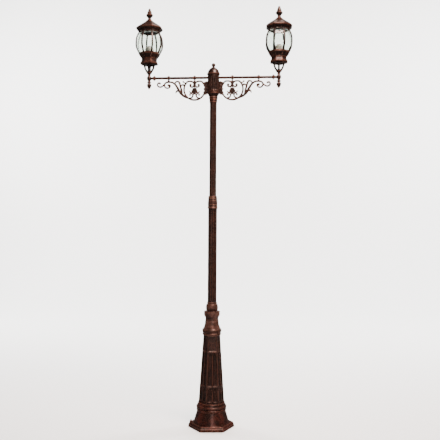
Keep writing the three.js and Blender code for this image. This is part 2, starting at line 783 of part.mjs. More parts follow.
/** The upright block at the bar's end, bored across for the bar and through for the nipple. */
function endHub() {
  const half = END_HUB_HEIGHT / 2;
  const body = turnedSolid(
    [[END_HUB_R - 3, -half], [END_HUB_R, -half + 5], [END_HUB_R, half - 5], [END_HUB_R - 3, half]],
    ROUND,
  );
  const cross = rod(boreFor(BAR_R, SEAT, FINE), -END_HUB_R - 1, -NIPPLE_R - 1);
  const through = rod(boreFor(NIPPLE_R, SEAT, FINE), -half - 1, half + 1);
  return cut(body, cross.rotateY(Math.PI / 2), through);
}

/** The pointed drop under the bar's end. */
function acornDrop() {
  return cut(
    turnedSolid(
      [
        [1, -ACORN_HEIGHT],
        [6, -ACORN_HEIGHT + 8],
        [END_HUB_R, -ACORN_HEIGHT + 20],
        [END_HUB_R + 0.8, -ACORN_HEIGHT + 32],
        [7, -ACORN_HEIGHT + 40],
        ...bead(7, -18, -4, 6.2),
        [9, 0],
      ],
      FINE,
    ),
    rod(boreFor(NIPPLE_R, SEAT, FINE), -14, 1),
  );
}

const NIPPLE_TOP = 17; // of the nipple above the end hub
const END_HUB_TOP = END_HUB_HEIGHT / 2;

/** Everything on one arm that does not turn with the lantern. */
function addArm(arm, side) {
  const barFrom = HUB_BORE - 8;
  const barTo = ARM_REACH - NIPPLE_R - 2;
  const bar = boredRing([[BAR_R, barFrom], [BAR_R, barTo]], BAR_R - BAR_WALL, FINE);
  place(arm, `arm_bar_${side}`, "copper", bar.rotateY(Math.PI / 2), barZ);
  const bulge = bead(BAR_R + 3, 0, BAR_COLLAR_WIDTH, BAR_COLLAR_R - BAR_R - 3, 4);
  const collar = boredRing(bulge, boreFor(BAR_R, SEAT, FINE), FINE).rotateY(Math.PI / 2);
  const collarX = ARM_REACH - BAR_COLLAR_BACK - BAR_COLLAR_WIDTH / 2;
  place(arm, `bar_collar_${side}`, "copper", collar, barZ, collarX);
  place(arm, `clip_inner_${side}`, "copper", barClip(), barZ, RING_X);
  place(arm, `clip_outer_${side}`, "copper", barClip(), barZ, RING_X + scrollPoint([181, 0]).x);
  place(arm, `scroll_bracket_${side}`, "copper", scrollBracket(), barZ - SCROLL_RING_DROP, RING_X);
  place(arm, `end_hub_${side}`, "copper", endHub(), barZ, ARM_REACH);
  place(arm, `acorn_drop_${side}`, "copper", acornDrop(), barZ - END_HUB_TOP - SEAT, ARM_REACH);
  const nipple = boredRing(
    [[NIPPLE_R, -END_HUB_TOP - 12], [NIPPLE_R, END_HUB_TOP + NIPPLE_TOP]],
    NIPPLE_R - 1.8,
    FINE,
  );
  place(arm, `lamp_nipple_${side}`, "steel", nipple, barZ, ARM_REACH);
}

// ---- Lantern ---------------------------------------------------------------------------------
/** The stem, its four curved legs and the octagonal flange, cast in one. */
function gallery() {
  const legTop = STEM_HEIGHT + LEG_HEIGHT;
  const stem = turnedSolid(
    [[8, 0], [9, 4], [15.5, STEM_HEIGHT - 6], [15.5, STEM_HEIGHT]],
    FINE,
  );
  const flange = octagonal(
    turnedSolid(
      [
        [FLANGE_R - 22, legTop],
        [FLANGE_R - 4, legTop + 6],
        [FLANGE_R, legTop + 9],
        [FLANGE_R, legTop + 13],
        [CUP_NECK_R, legTop + FLANGE_HEIGHT],
      ],
      SIDES,
    ),
  );
  const path = new THREE.CatmullRomCurve3([
    new THREE.Vector3(9, 0, STEM_HEIGHT - 4),
    new THREE.Vector3(17, 0, STEM_HEIGHT + 6),
    new THREE.Vector3(26, 0, STEM_HEIGHT + LEG_HEIGHT * 0.45),
    new THREE.Vector3(33, 0, legTop + 3),
  ]);
  const [halfDeep, halfWide] = [LEG_DEPTH / 2, LEG_WIDTH / 2];
  const section = new THREE.Shape([
    new THREE.Vector2(-halfDeep, -halfWide),
    new THREE.Vector2(halfDeep, -halfWide),
    new THREE.Vector2(halfDeep, halfWide),
    new THREE.Vector2(-halfDeep, halfWide),
  ]);
  const legs = Array.from({ length: LEGS }, (_, i) =>
    new THREE.ExtrudeGeometry(section, { steps: 5, extrudePath: path, bevelEnabled: false }).rotateZ(
      (i * 2 * Math.PI) / LEGS,
    ),
  );
  const bore = rod(boreFor(NIPPLE_R, RUN, FINE), -1, NIPPLE_TOP + 2);
  return cut(join(stem, flange, ...legs), bore);
}

/** The cup that carries cage and lampholder. */
function cup() {
  const top = CUP_NECK_HEIGHT + CUP_HEIGHT;
  const outside = [
    [CUP_NECK_R, 0],
    [CUP_NECK_R, CUP_NECK_HEIGHT - 4],
    [CUP_NECK_R + 3, CUP_NECK_HEIGHT],
    [CUP_NECK_R + 13, CUP_NECK_HEIGHT + 12],
    [CUP_RIM_R, top - 6],
    [CUP_RIM_R, top],
  ];
  const hollow = turnedSolid(
    [
      [CUP_NECK_R - CUP_WALL, CUP_WALL + 2],
      ...inset(outside, CUP_WALL).slice(1, -1),
      [CUP_RIM_R - CUP_WALL, top + 1],
    ],
    SIDES,
  );
  return octagonal(cut(turnedSolid(outside, SIDES), hollow));
}

/** A point of a rib's outer edge: 0 at the cup's rim, 1 at the eave. */
function ribEdge(share) {
  const curve = new THREE.SplineCurve([
    new THREE.Vector2(CUP_RIM_R, 0),
    new THREE.Vector2(CAGE_BELLY_R - 3, CAGE_HEIGHT * 0.27),
    new THREE.Vector2(CAGE_BELLY_R, CAGE_HEIGHT * 0.5),
    new THREE.Vector2(CAGE_BELLY_R - 6, CAGE_HEIGHT * 0.76),
    new THREE.Vector2(CAGE_TOP_R, CAGE_HEIGHT),
  ]);
  return curve.getPoint(share);
}

/** The rib's outer edge as [radius, height] pairs. */
function ribProfile(steps) {
  return Array.from({ length: steps + 1 }, (_, i) => ribEdge(i / steps).toArray());
}

/** Eight curved ribs between two octagonal rings. */
function ribCage() {
  const edge = ribProfile(5);
  const outline = [...edge, ...inset(edge, RIB_DEPTH).reverse()];
  const reach = RIB_DEPTH + CAGE_LEDGE;
  const ring = (radius, z) =>
    octagonal(boredRing([[radius, z], [radius, z + CAGE_RING]], radius - reach, SIDES));
  const ribs = Array.from({ length: SIDES }, (_, i) =>
    flatPiece(outline.map(([r, z]) => new THREE.Vector2(r, z)), RIB_WIDTH).rotateZ(
      ((i + 0.5) * 2 * Math.PI) / SIDES,
    ),
  );
  return join(ring(CUP_RIM_R, 0), ring(CAGE_TOP_R, CAGE_HEIGHT - CAGE_RING), ...ribs);
}

/** The moulded octagonal glass, open at both ends. */
function glass() {
  const from = CAGE_RING + SEAT;
  const to = CAGE_HEIGHT - CAGE_RING - SEAT;
  const inside = ribProfile(5).filter(([, z]) => z > from && z < to);
  const closer = (z) => (a, b) => (Math.abs(a[1] - z) < Math.abs(b[1] - z) ? a : b);
  const nearest = (z) => ribProfile(64).reduce(closer(z));
  const edge = [[nearest(from)[0], from], ...inside, [nearest(to)[0], to]];
  const outside = inset(edge, RIB_DEPTH + 2 * SEAT);
  return octagonal(turnedRing(outside, inset(outside, GLASS_WALL), SIDES));
}

/** The porcelain lampholder with its threaded bore. */
function lampholder() {
  return cut(
    turnedSolid([[HOLDER_R + 3, 0], [HOLDER_R + 3, 4], [HOLDER_R, 8], [HOLDER_R - 2, HOLDER_HEIGHT]]),
    rod(boreFor(BULB_CAP_R, RUN), BULB_SEAT - SEAT, HOLDER_HEIGHT + 1, ROUND),
  );
}

/** A pear-shaped bulb with its screw cap, from the cap's contact up. */
function bulb() {
  const cap = HOLDER_HEIGHT - BULB_SEAT + RUN;
  const centre = BULB_HEIGHT - BULB_R;
  const crown = Array.from({ length: 5 }, (_, i) => {
    const angle = (Math.PI / 2) * (i / 5);
    return [BULB_R * Math.cos(angle), centre + BULB_R * Math.sin(angle)];
  });
  return turnedSolid([
    [6, 0],
    [BULB_CAP_R, 4],
    [BULB_CAP_R, cap],
    [BULB_CAP_R + 2, cap + 8],
    [BULB_R - 6, centre - 16],
    ...crown,
    [1, BULB_HEIGHT],
  ]);
}

/** The strap across the cage's top ring, with the stud that the roof hangs on. */
function roofBridge(studHeight) {
  const ledge = CAGE_TOP_R - RIB_DEPTH - CAGE_LEDGE;
  const half = ledge - 0.5;
  const strap = new THREE.BoxGeometry(2 * half, BRIDGE_WIDTH, BRIDGE_THICK);
  return join(strap.translate(0, 0, BRIDGE_THICK / 2), rod(STUD_R, 1, studHeight));
}

/** The eight-sided roof: soffit, eave and ogee slope, hollow underneath. */
function roof() {
  const rim = CAGE_TOP_R + 2.4;
  const outside = [
    [rim, 0],
    [EAVE_R, 18],
    [EAVE_R, 23],
    [EAVE_R - 13, 36],
    [EAVE_R - 31, 50],
    [EAVE_R - 49, 60],
    [EAVE_R - 70, 73],
    [STUD_R + 13, ROOF_HEIGHT],
  ];
  const inside = [
    [rim - ROOF_WALL - 3, 0],
    [rim - ROOF_WALL - 3, 5],
    [EAVE_R - ROOF_WALL - 4, 20],
    [EAVE_R - ROOF_WALL - 16, 32],
    [EAVE_R - ROOF_WALL - 50, 55],
    [STUD_R + 12, 68],
    [boreFor(STUD_R, RUN, SIDES), 78],
    [boreFor(STUD_R, RUN, SIDES), ROOF_HEIGHT],
  ];
  return octagonal(turnedRing(outside, inside, SIDES));
}

/** The roof's turned finial, screwed on the stud. */
function roofFinial() {
  const bulge = 22;
  return knob(
    [
      [STUD_R + 6, 0],
      [STUD_R + 4.5, 4],
      ...bead(STUD_R + 5, 7, 7 + 2 * bulge * 0.8, FINIAL_R - STUD_R - 5, 6),
      [STUD_R + 3, 46],
      [STUD_R + 7, 52],
      [STUD_R + 5, 60],
      [1.5, FINIAL_HEIGHT],
    ],
    STUD_R,
    FINIAL_BORE_DEPTH,
  );
}

/** One whole lantern, standing on the end of its arm. */
function addLantern(lantern, side) {
  const cupZ = STEM_HEIGHT + LEG_HEIGHT + FLANGE_HEIGHT + SEAT;
  const holderZ = cupZ + CUP_WALL + 2 + SEAT;
  const cageZ = cupZ + CUP_NECK_HEIGHT + CUP_HEIGHT + SEAT;
  const roofZ = cageZ + CAGE_HEIGHT + SEAT;
  const finialZ = roofZ + ROOF_HEIGHT + SEAT;
  const studHeight = ROOF_HEIGHT + FINIAL_BORE_DEPTH - 2;
  place(lantern, `gallery_${side}`, "copper", gallery());
  place(lantern, `cup_${side}`, "copper", cup(), cupZ);
  place(lantern, `lampholder_${side}`, "porcelain", lampholder(), holderZ);
  place(lantern, `bulb_${side}`, "opal", bulb(), holderZ + BULB_SEAT);
  place(lantern, `rib_cage_${side}`, "copper", ribCage(), cageZ);
  place(lantern, `glass_${side}`, "glass", glass(), cageZ);
  place(lantern, `roof_bridge_${side}`, "steel", roofBridge(studHeight), roofZ);
  place(lantern, `roof_${side}`, "copper", roof(), roofZ);
  place(lantern, `roof_finial_${side}`, "copper", roofFinial(), finialZ);
}

for (const [side, turn] of [["right", 0], ["left", Math.PI]]) {
  const arm = new THREE.Group();
  arm.rotation.z = turn;
  head.add(arm);
  addArm(arm, side);
  const lantern = new THREE.Group();
  lantern.position.set(ARM_REACH, 0, barZ + END_HUB_TOP + SEAT);
  arm.add(lantern);
  addLantern(lantern, side);
}

export default lampPost;
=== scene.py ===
"""Street lamp post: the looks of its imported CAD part, built piece by piece in mesh code.

Each sub-assembly is a class whose methods build its meshes and dress them. Places come from the
boxes of the CAD nodes. Sizes that the boxes don't show are dataclass fields, in metres, or stand
in the outlines, in millimetres above a piece's foot.
"""

import logging
import math
from dataclasses import dataclass
from enum import Enum
from typing import Iterable, Sequence

import bpy
import numpy as np
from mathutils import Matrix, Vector


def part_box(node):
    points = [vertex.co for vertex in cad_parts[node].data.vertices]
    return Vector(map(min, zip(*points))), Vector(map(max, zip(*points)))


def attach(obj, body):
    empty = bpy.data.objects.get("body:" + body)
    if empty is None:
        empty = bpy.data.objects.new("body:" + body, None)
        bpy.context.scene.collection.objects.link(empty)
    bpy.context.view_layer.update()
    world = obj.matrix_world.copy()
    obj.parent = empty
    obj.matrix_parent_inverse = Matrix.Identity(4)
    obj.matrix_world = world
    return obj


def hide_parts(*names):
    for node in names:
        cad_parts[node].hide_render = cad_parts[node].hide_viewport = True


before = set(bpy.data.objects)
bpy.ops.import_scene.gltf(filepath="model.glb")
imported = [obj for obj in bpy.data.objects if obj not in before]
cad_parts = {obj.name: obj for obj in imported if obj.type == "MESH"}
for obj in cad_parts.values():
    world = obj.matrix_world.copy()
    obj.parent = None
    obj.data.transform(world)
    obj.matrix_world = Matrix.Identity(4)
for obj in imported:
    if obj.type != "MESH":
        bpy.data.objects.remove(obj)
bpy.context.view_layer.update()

log = logging.getLogger("lamp_post")

Point2 = tuple[float, float]
Skin = tuple[np.ndarray, list[tuple[int, ...]]]


class Side(Enum):
    """The two arms, and the way each one points along X."""

    RIGHT = 1
    LEFT = -1

    @property
    def suffix(self) -> str:
        """The ending of this side's node and body names."""
        return self.name.lower()


class Wear(Enum):
    """The float attributes that tell a finish where hands rub edges bright and where tight corners
    darken.
    """

    RUB = "rub"
    PIT = "pit"


# ---- Outlines --------------------------------------------------------------------------------


def spread(start: float, end: float, step: float) -> np.ndarray:
    """Even numbers from start to end, both included.

    Args:
        start: The first number.
        end: The last number.
        step: The largest gap allowed between two of them.

    Returns:
        The numbers in order.
    """
    return np.linspace(start, end, max(2, math.ceil(abs(end - start) / step) + 1))


def eased(points: Sequence[Point2], radius: float = 0.0012, step: float = 0.006) -> np.ndarray:
    """An outline with its corners rounded, and points close together all along it.

    Args:
        points: The outline's corners as (radius, height) pairs.
        radius: How far a corner's rounding reaches along each side.
        step: The largest gap left between two points.

    Returns:
        The outline as rows of (radius, height).
    """
    corners = [np.array(p, float) for p in points]
    path = [corners[0]]
    for before, corner, after in zip(corners, corners[1:], corners[2:]):
        back, ahead = before - corner, after - corner
        reach = min(radius, 0.45 * np.linalg.norm(back), 0.45 * np.linalg.norm(ahead))
        start = corner + back / np.linalg.norm(back) * reach
        end = corner + ahead / np.linalg.norm(ahead) * reach
        for t in (0.0, 0.25, 0.5, 0.75, 1.0):
            path.append((1 - t) ** 2 * start + 2 * t * (1 - t) * corner + t * t * end)
    path.append(corners[-1])
    full = [path[0]]
    for a, b in zip(path, path[1:]):
        gap = np.linalg.norm(b - a)
        if gap < 1e-7:
            continue
        if gap > 2.5 * radius:
            nudge = radius * 0.8 / gap
            shares = [nudge, *spread(nudge, 1 - nudge, step / gap)[1:-1], 1 - nudge, 1.0]
        else:
            shares = [1.0]
        full += [a + (b - a) * s for s in shares]
    return np.array(full)


def bead(radius: float, low: float, high: float, proud: float, steps: int = 12) -> list[Point2]:
    """The corners of a half-round bead.

    Args:
        radius: The radius of the body that the bead stands on.
        low: The bead's bottom.
        high: The bead's top.
        proud: How far it stands out.
        steps: How many parts its arc is made of.

    Returns:
        The bead's points from bottom to top.
    """
    angles = np.linspace(0, math.pi, steps + 1)
    middle, half = (low + high) / 2, (high - low) / 2
    return [(radius + proud * math.sin(a), middle - half * math.cos(a)) for a in angles]


def thread(start: float, end: float, pitch: float, radius: float, deep: float) -> list[Point2]:
    """A thread's outline, crest and root in turn.

    Args:
        start: Where it starts.
        end: Where it stops, at the latest.
        pitch: The gap between a crest and the root after it.
        radius: The radius of its crests.
        deep: How deep its roots lie.

    Returns:
        The thread's points from bottom to top.
    """
    return [(radius - deep * (i % 2), z) for i, z in enumerate(np.arange(start, end, pitch))]


def smooth_line(points: Sequence[Sequence[float]], steps: int) -> np.ndarray:
    """A Catmull-Rom line through points.

    Args:
        points: The points, of any dimension.
        steps: How many parts each stretch between two points is cut in.

    Returns:
        The line's points.
    """
    p = np.array(points, float)
    p = np.vstack([2 * p[0] - p[1], p, 2 * p[-1] - p[-2]])
    line = []
    for i in range(1, len(p) - 2):
        for t in np.arange(steps) / steps:
            a, b, c, d = p[i - 1 : i + 3]
            line.append(
                0.5 * (2 * b + (c - a) * t + (2 * a - 5 * b + 4 * c - d) * t**2
                       + (3 * b - 3 * c + d - a) * t**3)
            )
    return np.array([*line, p[-2]])


# ---- Skins -----------------------------------------------------------------------------------


def grid(rings: np.ndarray, closed: bool = True, caps: bool = True) -> Skin:
    """A skin over rings of points.

    Args:
        rings: Points as (ring, place on the ring, xyz).
        closed: Whether each ring joins up with its own start.
        caps: Whether the first and the last ring are filled.

    Returns:
        The vertices and the faces.
    """
    levels, count = rings.shape[:2]
    verts = rings.reshape(-1, 3)
    faces = []
    for level in range(levels - 1):
        low, high = level * count, (level + 1) * count
        for i in range(count if closed else count - 1):
            j = (i + 1) % count
            faces.append((low + i, low + j, high + j, high + i))
    if caps:
        faces.append(tuple(reversed(range(count))))
        faces.append(tuple(range((levels - 1) * count, levels * count)))
    return verts, faces


def turned(outline: np.ndarray, segments: int = 96, caps: bool = True) -> Skin:
    """A skin turned round Z.

    Args:
        outline: Rows of (radius, height).
        segments: How many parts the round is made of.
        caps: Whether both ends are filled.

    Returns:
        The vertices and the faces.
    """
    angles = np.arange(segments) * 2 * math.pi / segments
    around = np.stack([np.cos(angles), np.sin(angles)], axis=1)
    rings = np.empty((len(outline), segments, 3))
    rings[:, :, :2] = outline[:, None, :1] * around[None]
    rings[:, :, 2] = outline[:, 1:2]
    return grid(rings, caps=caps)


def corner_angles(sides: int, turn: float, plain: int = 5) -> np.ndarray:
    """Angles round a polygon, set close together at its corners.

    Args:
        sides: The polygon's number of sides.
        turn: The angle of its first corner.
        plain: How many angles each side has between its corners.

    Returns:
        The angles in order.
    """
    near = np.array([-0.07, -0.04, -0.022, -0.01, 0, 0.01, 0.022, 0.04, 0.07])
    whole = 2 * math.pi / sides
    between = np.linspace(near[-1], whole - near[-1], plain + 2)[1:-1]
    one = np.concatenate([near, between])
    return np.concatenate([turn + k * whole + one for k in range(sides)])


def polygon_reach(angles: np.ndarray, sides: int, turn: float, sharp: float = 110) -> np.ndarray:
    """How far a polygon with eased corners reaches at each angle, where its corners reach 1.

    Args:
        angles: The angles to look along.
        sides: The polygon's number of sides.
        turn: The angle of its first corner.
        sharp: How tight the corners are.

    Returns:
        The reach at each angle.
    """
    faces = turn + (np.arange(sides) + 0.5) * 2 * math.pi / sides
    facing = np.clip(np.cos(angles[:, None] - faces[None]), 0, None)
    reach = (facing**sharp).sum(axis=1) ** (-1 / sharp)
    return reach * math.cos(math.pi / sides)


def prism(outline: np.ndarray, sides: int, turn: float, caps: bool = True,
          sharp: float = 110) -> Skin:
    """A skin with polygonal rings and eased corners.

    Args:
        outline: Rows of (corner radius, height).
        sides: The number of sides.
        turn: The angle of the first corner.
        caps: Whether both ends are filled.
        sharp: How tight the corners are.

    Returns:
        The vertices and the faces.
    """
    angles = corner_angles(sides, turn)
    reach = polygon_reach(angles, sides, turn, sharp)
    around = np.stack([np.cos(angles) * reach, np.sin(angles) * reach], axis=1)
    rings = np.empty((len(outline), len(angles), 3))
    rings[:, :, :2] = outline[:, None, :1] * around[None]
    rings[:, :, 2] = outline[:, 1:2]
    return grid(rings, caps=caps)


def swept(line: np.ndarray, widths: Sequence[float], depths: Sequence[float],
          square: float = 2.6, count: int = 20) -> Skin:
    """A bar with a rounded section along a line that is flat in Y.

    Args:
        line: The points of its middle, xyz.
        widths: Its width in the line's plane, at the start and the end or at each point.
        depths: Its width out of the line's plane, in the same way.
        square: 2 for an oval section, more for a squarer one.
        count: How many points its section has.

    Returns:
        The vertices and the faces.
    """
    n = len(line)
    width = np.interp(np.linspace(0, 1, n), np.linspace(0, 1, len(widths)), widths)
    depth = np.interp(np.linspace(0, 1, n), np.linspace(0, 1, len(depths)), depths)
    along = np.gradient(line, axis=0)
    along /= np.linalg.norm(along, axis=1)[:, None]
    out = np.array([0.0, 1.0, 0.0])
    inward = np.cross(along, out)
    inward /= np.linalg.norm(inward, axis=1)[:, None]
    angles = np.arange(count) * 2 * math.pi / count
    c, s = np.cos(angles), np.sin(angles)
    u = np.sign(c) * np.abs(c) ** (2 / square) / 2
    v = np.sign(s) * np.abs(s) ** (2 / square) / 2
    rings = (line[:, None] + inward[:, None] * (u[None] * width[:, None])[..., None]
             + out[None, None] * (v[None] * depth[:, None])[..., None])
    return grid(rings)


def moved(skin: Skin, x: float = 0, y: float = 0, z: float = 0, turn: float = 0,
          tilt: float = 0) -> Skin:
    """A skin tilted about Y, turned about Z and then moved.

    Args:
        skin: The vertices and the faces.
        x: The move along X.
        y: The move along Y.
        z: The move along Z.
        turn: The angle about Z.
        tilt: The angle about Y, applied first.

    Returns:
        The moved skin.
    """
    verts, faces = skin
    ct, st = math.cos(tilt), math.sin(tilt)
    c, s = math.cos(turn), math.sin(turn)
    about_y = np.array([[ct, 0, st], [0, 1, 0], [-st, 0, ct]])
    about_z = np.array([[c, -s, 0], [s, c, 0], [0, 0, 1]])
    return verts @ (about_z @ about_y).T + np.array([x, y, z]), faces


def joined(skins: Iterable[Skin]) -> Skin:
    """Several skins as one, unwelded.

    Args:
        skins: The skins.

    Returns:
        The vertices and the faces of all of them.
    """
    verts, faces, start = [], [], 0
    for v, f in skins:
        verts.append(v)
        faces += [tuple(i + start for i in face) for face in f]
        start += len(v)
    return np.vstack(verts), faces


def plane_line(points: Sequence[Point2]) -> np.ndarray:
    """Points (along X, height) as points in space, flat in Y."""
    return np.array([(x, 0.0, z) for x, z in points])


@dataclass(frozen=True)
class Flutes:
    """Round-ended flutes cut side by side round a tube.

    half is half a flute's width, as a share of the way from one flute to the next. points is
    per flute, step the largest gap between rows. At each end of the flutes there are more rows,
    set close together, and past is how far they run on after the rounding.
    """

    count: int
    deep: float
    half: float
    points: int
    step: float
    rows: int
    past: float

    def skin(self, low: float, high: float, start: float, end: float, radius: float,
             rounding: float) -> Skin:
        """The fluted tube's skin.

        Args:
            low: The tube's bottom.
            high: Its top.
            start: Where the flutes start.
            end: Where they end.
            radius: The tube's radius.
            rounding: How long a flute's rounded end is.

        Returns:
            The vertices and the faces.
        """
        share = np.tile(np.arange(self.points) / self.points - 0.5, self.count)
        flute = np.repeat(np.arange(self.count), self.points)
        angles = (flute + share) * 2 * math.pi / self.count
        around = np.stack([np.cos(angles), np.sin(angles)], axis=1)
        inner, lead = rounding + self.past, 0.001
        rows = np.unique(np.round(np.concatenate([
            spread(low, high, self.step), np.linspace(start - lead, start + inner, self.rows),
            np.linspace(end - inner, end + lead, self.rows)]), 5))
        rings = []
        for z in rows:
            beyond = max(start + rounding - z, z - end + rounding, 0) / rounding
            rho = np.hypot(share / self.half, beyond)
            reach = radius - self.deep * np.sqrt(np.clip(1 - rho**2, 0, 1))
            rings.append(np.column_stack([around * reach[:, None], np.full(len(reach), z)]))
        return grid(np.array(rings))


# ---- Meshes ----------------------------------------------------------------------------------

# How sharply an edge bends before it rubs bright, or a corner before it darkens, and over what
# further bend that grows to the full, in 1/m.
RUB_FROM, RUB_OVER = 50, 400
PIT_FROM, PIT_OVER = 30, 300


def wear_of(mesh: bpy.types.Mesh) -> tuple[np.ndarray, np.ndarray]:
    """How far each vertex stands proud on an edge, and how deep it lies in a corner.

    Args:
        mesh: The mesh to measure.

    Returns:
        Two rows of numbers from 0 to 1, one per vertex.
    """
    count, edges = len(mesh.vertices), len(mesh.edges)
    co, normal = np.zeros(count * 3), np.zeros(count * 3)
    pairs = np.zeros(edges * 2, int)
    mesh.vertices.foreach_get("co", co)
    mesh.vertex_normals.foreach_get("vector", normal)
    mesh.edges.foreach_get("vertices", pairs)
    co, normal, pairs = co.reshape(-1, 3), normal.reshape(-1, 3), pairs.reshape(-1, 2)
    proud, deep = np.zeros(count), np.zeros(count)
    for a, b in ((0, 1), (1, 0)):
        here, there = pairs[:, a], pairs[:, b]
        step = co[there] - co[here]
        length2 = np.maximum((step**2).sum(axis=1), 1e-9)
        bend = -2 * (step * normal[here]).sum(axis=1) / length2
        np.maximum.at(proud, here, bend)
        np.maximum.at(deep, here, -bend)
    rub = np.clip((proud - RUB_FROM) / RUB_OVER, 0, 1)
    pit = np.clip((deep - PIT_FROM) / PIT_OVER, 0, 1)
    for row in (rub, pit):
        total, near = row.copy(), np.ones(count)
        for a, b in ((0, 1), (1, 0)):
            np.add.at(total, pairs[:, a], row[pairs[:, b]])
            np.add.at(near, pairs[:, a], 1)
        row[:] = 0.5 * row + 0.5 * total / near
    return rub, pit


def made(name: str, skin: Skin, finish: "Finish", sharp: float = 40.0,
         fuse: float = 0.0) -> bpy.types.Object:
    """A mesh object in its finish.

    Args:
        name: The object's name.
        skin: The vertices and the faces.
        finish: The finish it is dressed in.
        sharp: The angle in degrees above which an edge is drawn sharp.
        fuse: The fineness that crossing skins are fused into one at, or 0.

    Returns:
        The object.
    """
    verts, faces = skin
    mesh = bpy.data.meshes.new(name)
    mesh.from_pydata(verts.tolist(), [], faces)
    mesh.validate()
    mesh.shade_smooth()
    obj = bpy.data.objects.new(name, mesh)
    bpy.context.scene.collection.objects.link(obj)
    if fuse:
        remesh = obj.modifiers.new("fuse", "REMESH")
        remesh.mode, remesh.voxel_size, remesh.use_smooth_shade = "VOXEL", fuse, True
        smooth = obj.modifiers.new("ease", "SMOOTH")
        smooth.factor, smooth.iterations = 0.5, 2
        seen = obj.evaluated_get(bpy.context.evaluated_depsgraph_get())
        mesh = bpy.data.meshes.new_from_object(seen)
        mesh.name = name
        obj.modifiers.clear()
        obj.data = mesh
        mesh.shade_smooth()
    else:
        mesh.set_sharp_from_angle(angle=math.radians(sharp))
    for wear, values in zip(Wear, wear_of(mesh)):
        mesh.attributes.new(wear.value, "FLOAT", "POINT").data.foreach_set("value", values)
    mesh.materials.append(finish.material())
    return obj


def fitted(obj: bpy.types.Object, body: str, slot: str, *nodes: str) -> bpy.types.Object:
    """Hangs a piece on its body and lets it stand for its CAD nodes.

    Args:
        obj: The piece.
        body: The CAD body that it moves with.
        slot: The record's material slot; not used.
        nodes: The CAD nodes that it stands for.

    Returns:
        The same piece.
    """
    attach(obj, body)
    if nodes:
        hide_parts(*nodes)
    log.info("%s: %d faces on %s", obj.name, len(obj.data.polygons), body)
    return obj


def heights(node: str) -> tuple[float, float]:
    """The bottom and the top of a CAD node."""
    low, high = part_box(node)
    return low.z, high.z


def middle(node: str) -> Vector:
    """The centre of a CAD node's box."""
    low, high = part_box(node)
    return (low + high) / 2


# ---- Finishes --------------------------------------------------------------------------------


def linear(hexcode: str) -> tuple[float, float, float, float]:
    """The linear colour of an sRGB hex code.

    Args:
        hexcode: The code, from its hash sign on.

    Returns:
        Red, green, blue and a full alpha.
    """
    parts = [int(hexcode[i : i + 2], 16) / 255 for i in (1, 3, 5)]
    parts = [c / 12.92 if c <= 0.04045 else ((c + 0.055) / 1.055) ** 2.4 for c in parts]
    return (*parts, 1.0)


def add_node(tree: bpy.types.NodeTree, kind: str, settings: dict | None = None,
             inputs: dict | None = None) -> bpy.types.Node:
    """Adds a node with its settings, values and links.

    Args:
        tree: The node tree.
        kind: The node's type.
        settings: The node's own properties.
        inputs: By input name or number: a value, a socket, or a node for its first output.

    Returns:
        The node.
    """
    node = tree.nodes.new(kind)
    for name, value in (settings or {}).items():
        setattr(node, name, value)
    for key, value in (inputs or {}).items():
        if isinstance(value, bpy.types.Node):
            value = value.outputs[0]
        if isinstance(value, bpy.types.NodeSocket):
            tree.links.new(value, node.inputs[key])
        else:
            node.inputs[key].default_value = value
    return node


SMOOTHLY = {"interpolation_type": "SMOOTHSTEP"}
IN_COLOUR = {"data_type": "RGBA"}
MIXED = 2  # the colour output of a mix node


@dataclass(frozen=True)
class Pattern:
    """A noise whose patches have a real size, in millimetres."""

    size: float
    detail: float = 3.0
    rough: float = 0.55
    stretch: tuple[float, float, float] = (1, 1, 1)


@dataclass(frozen=True)
class Reading:
    """The stretch of a pattern that a finish reads, and what its two ends become."""

    low: float
    high: float
    least: float = 0.0
    most: float = 1.0


@dataclass(frozen=True)
class Finish:
    """A finish that makes its material once and hands it out after that."""

    name: str

    def material(self) -> bpy.types.Material:
        """The material, made on first use.

        Returns:
            The material.
        """
        known = bpy.data.materials.get(self.name)
        if known:
            return known
        material = bpy.data.materials.new(self.name)
        material.use_nodes = True
        tree = material.node_tree
        tree.nodes.clear()
        add_node(tree, "ShaderNodeOutputMaterial", inputs={"Surface": self.shader(tree)})
        return material

    def shader(self, tree: bpy.types.NodeTree) -> bpy.types.Node:
        """The finish's shader node, with everything that feeds it."""
        raise NotImplementedError


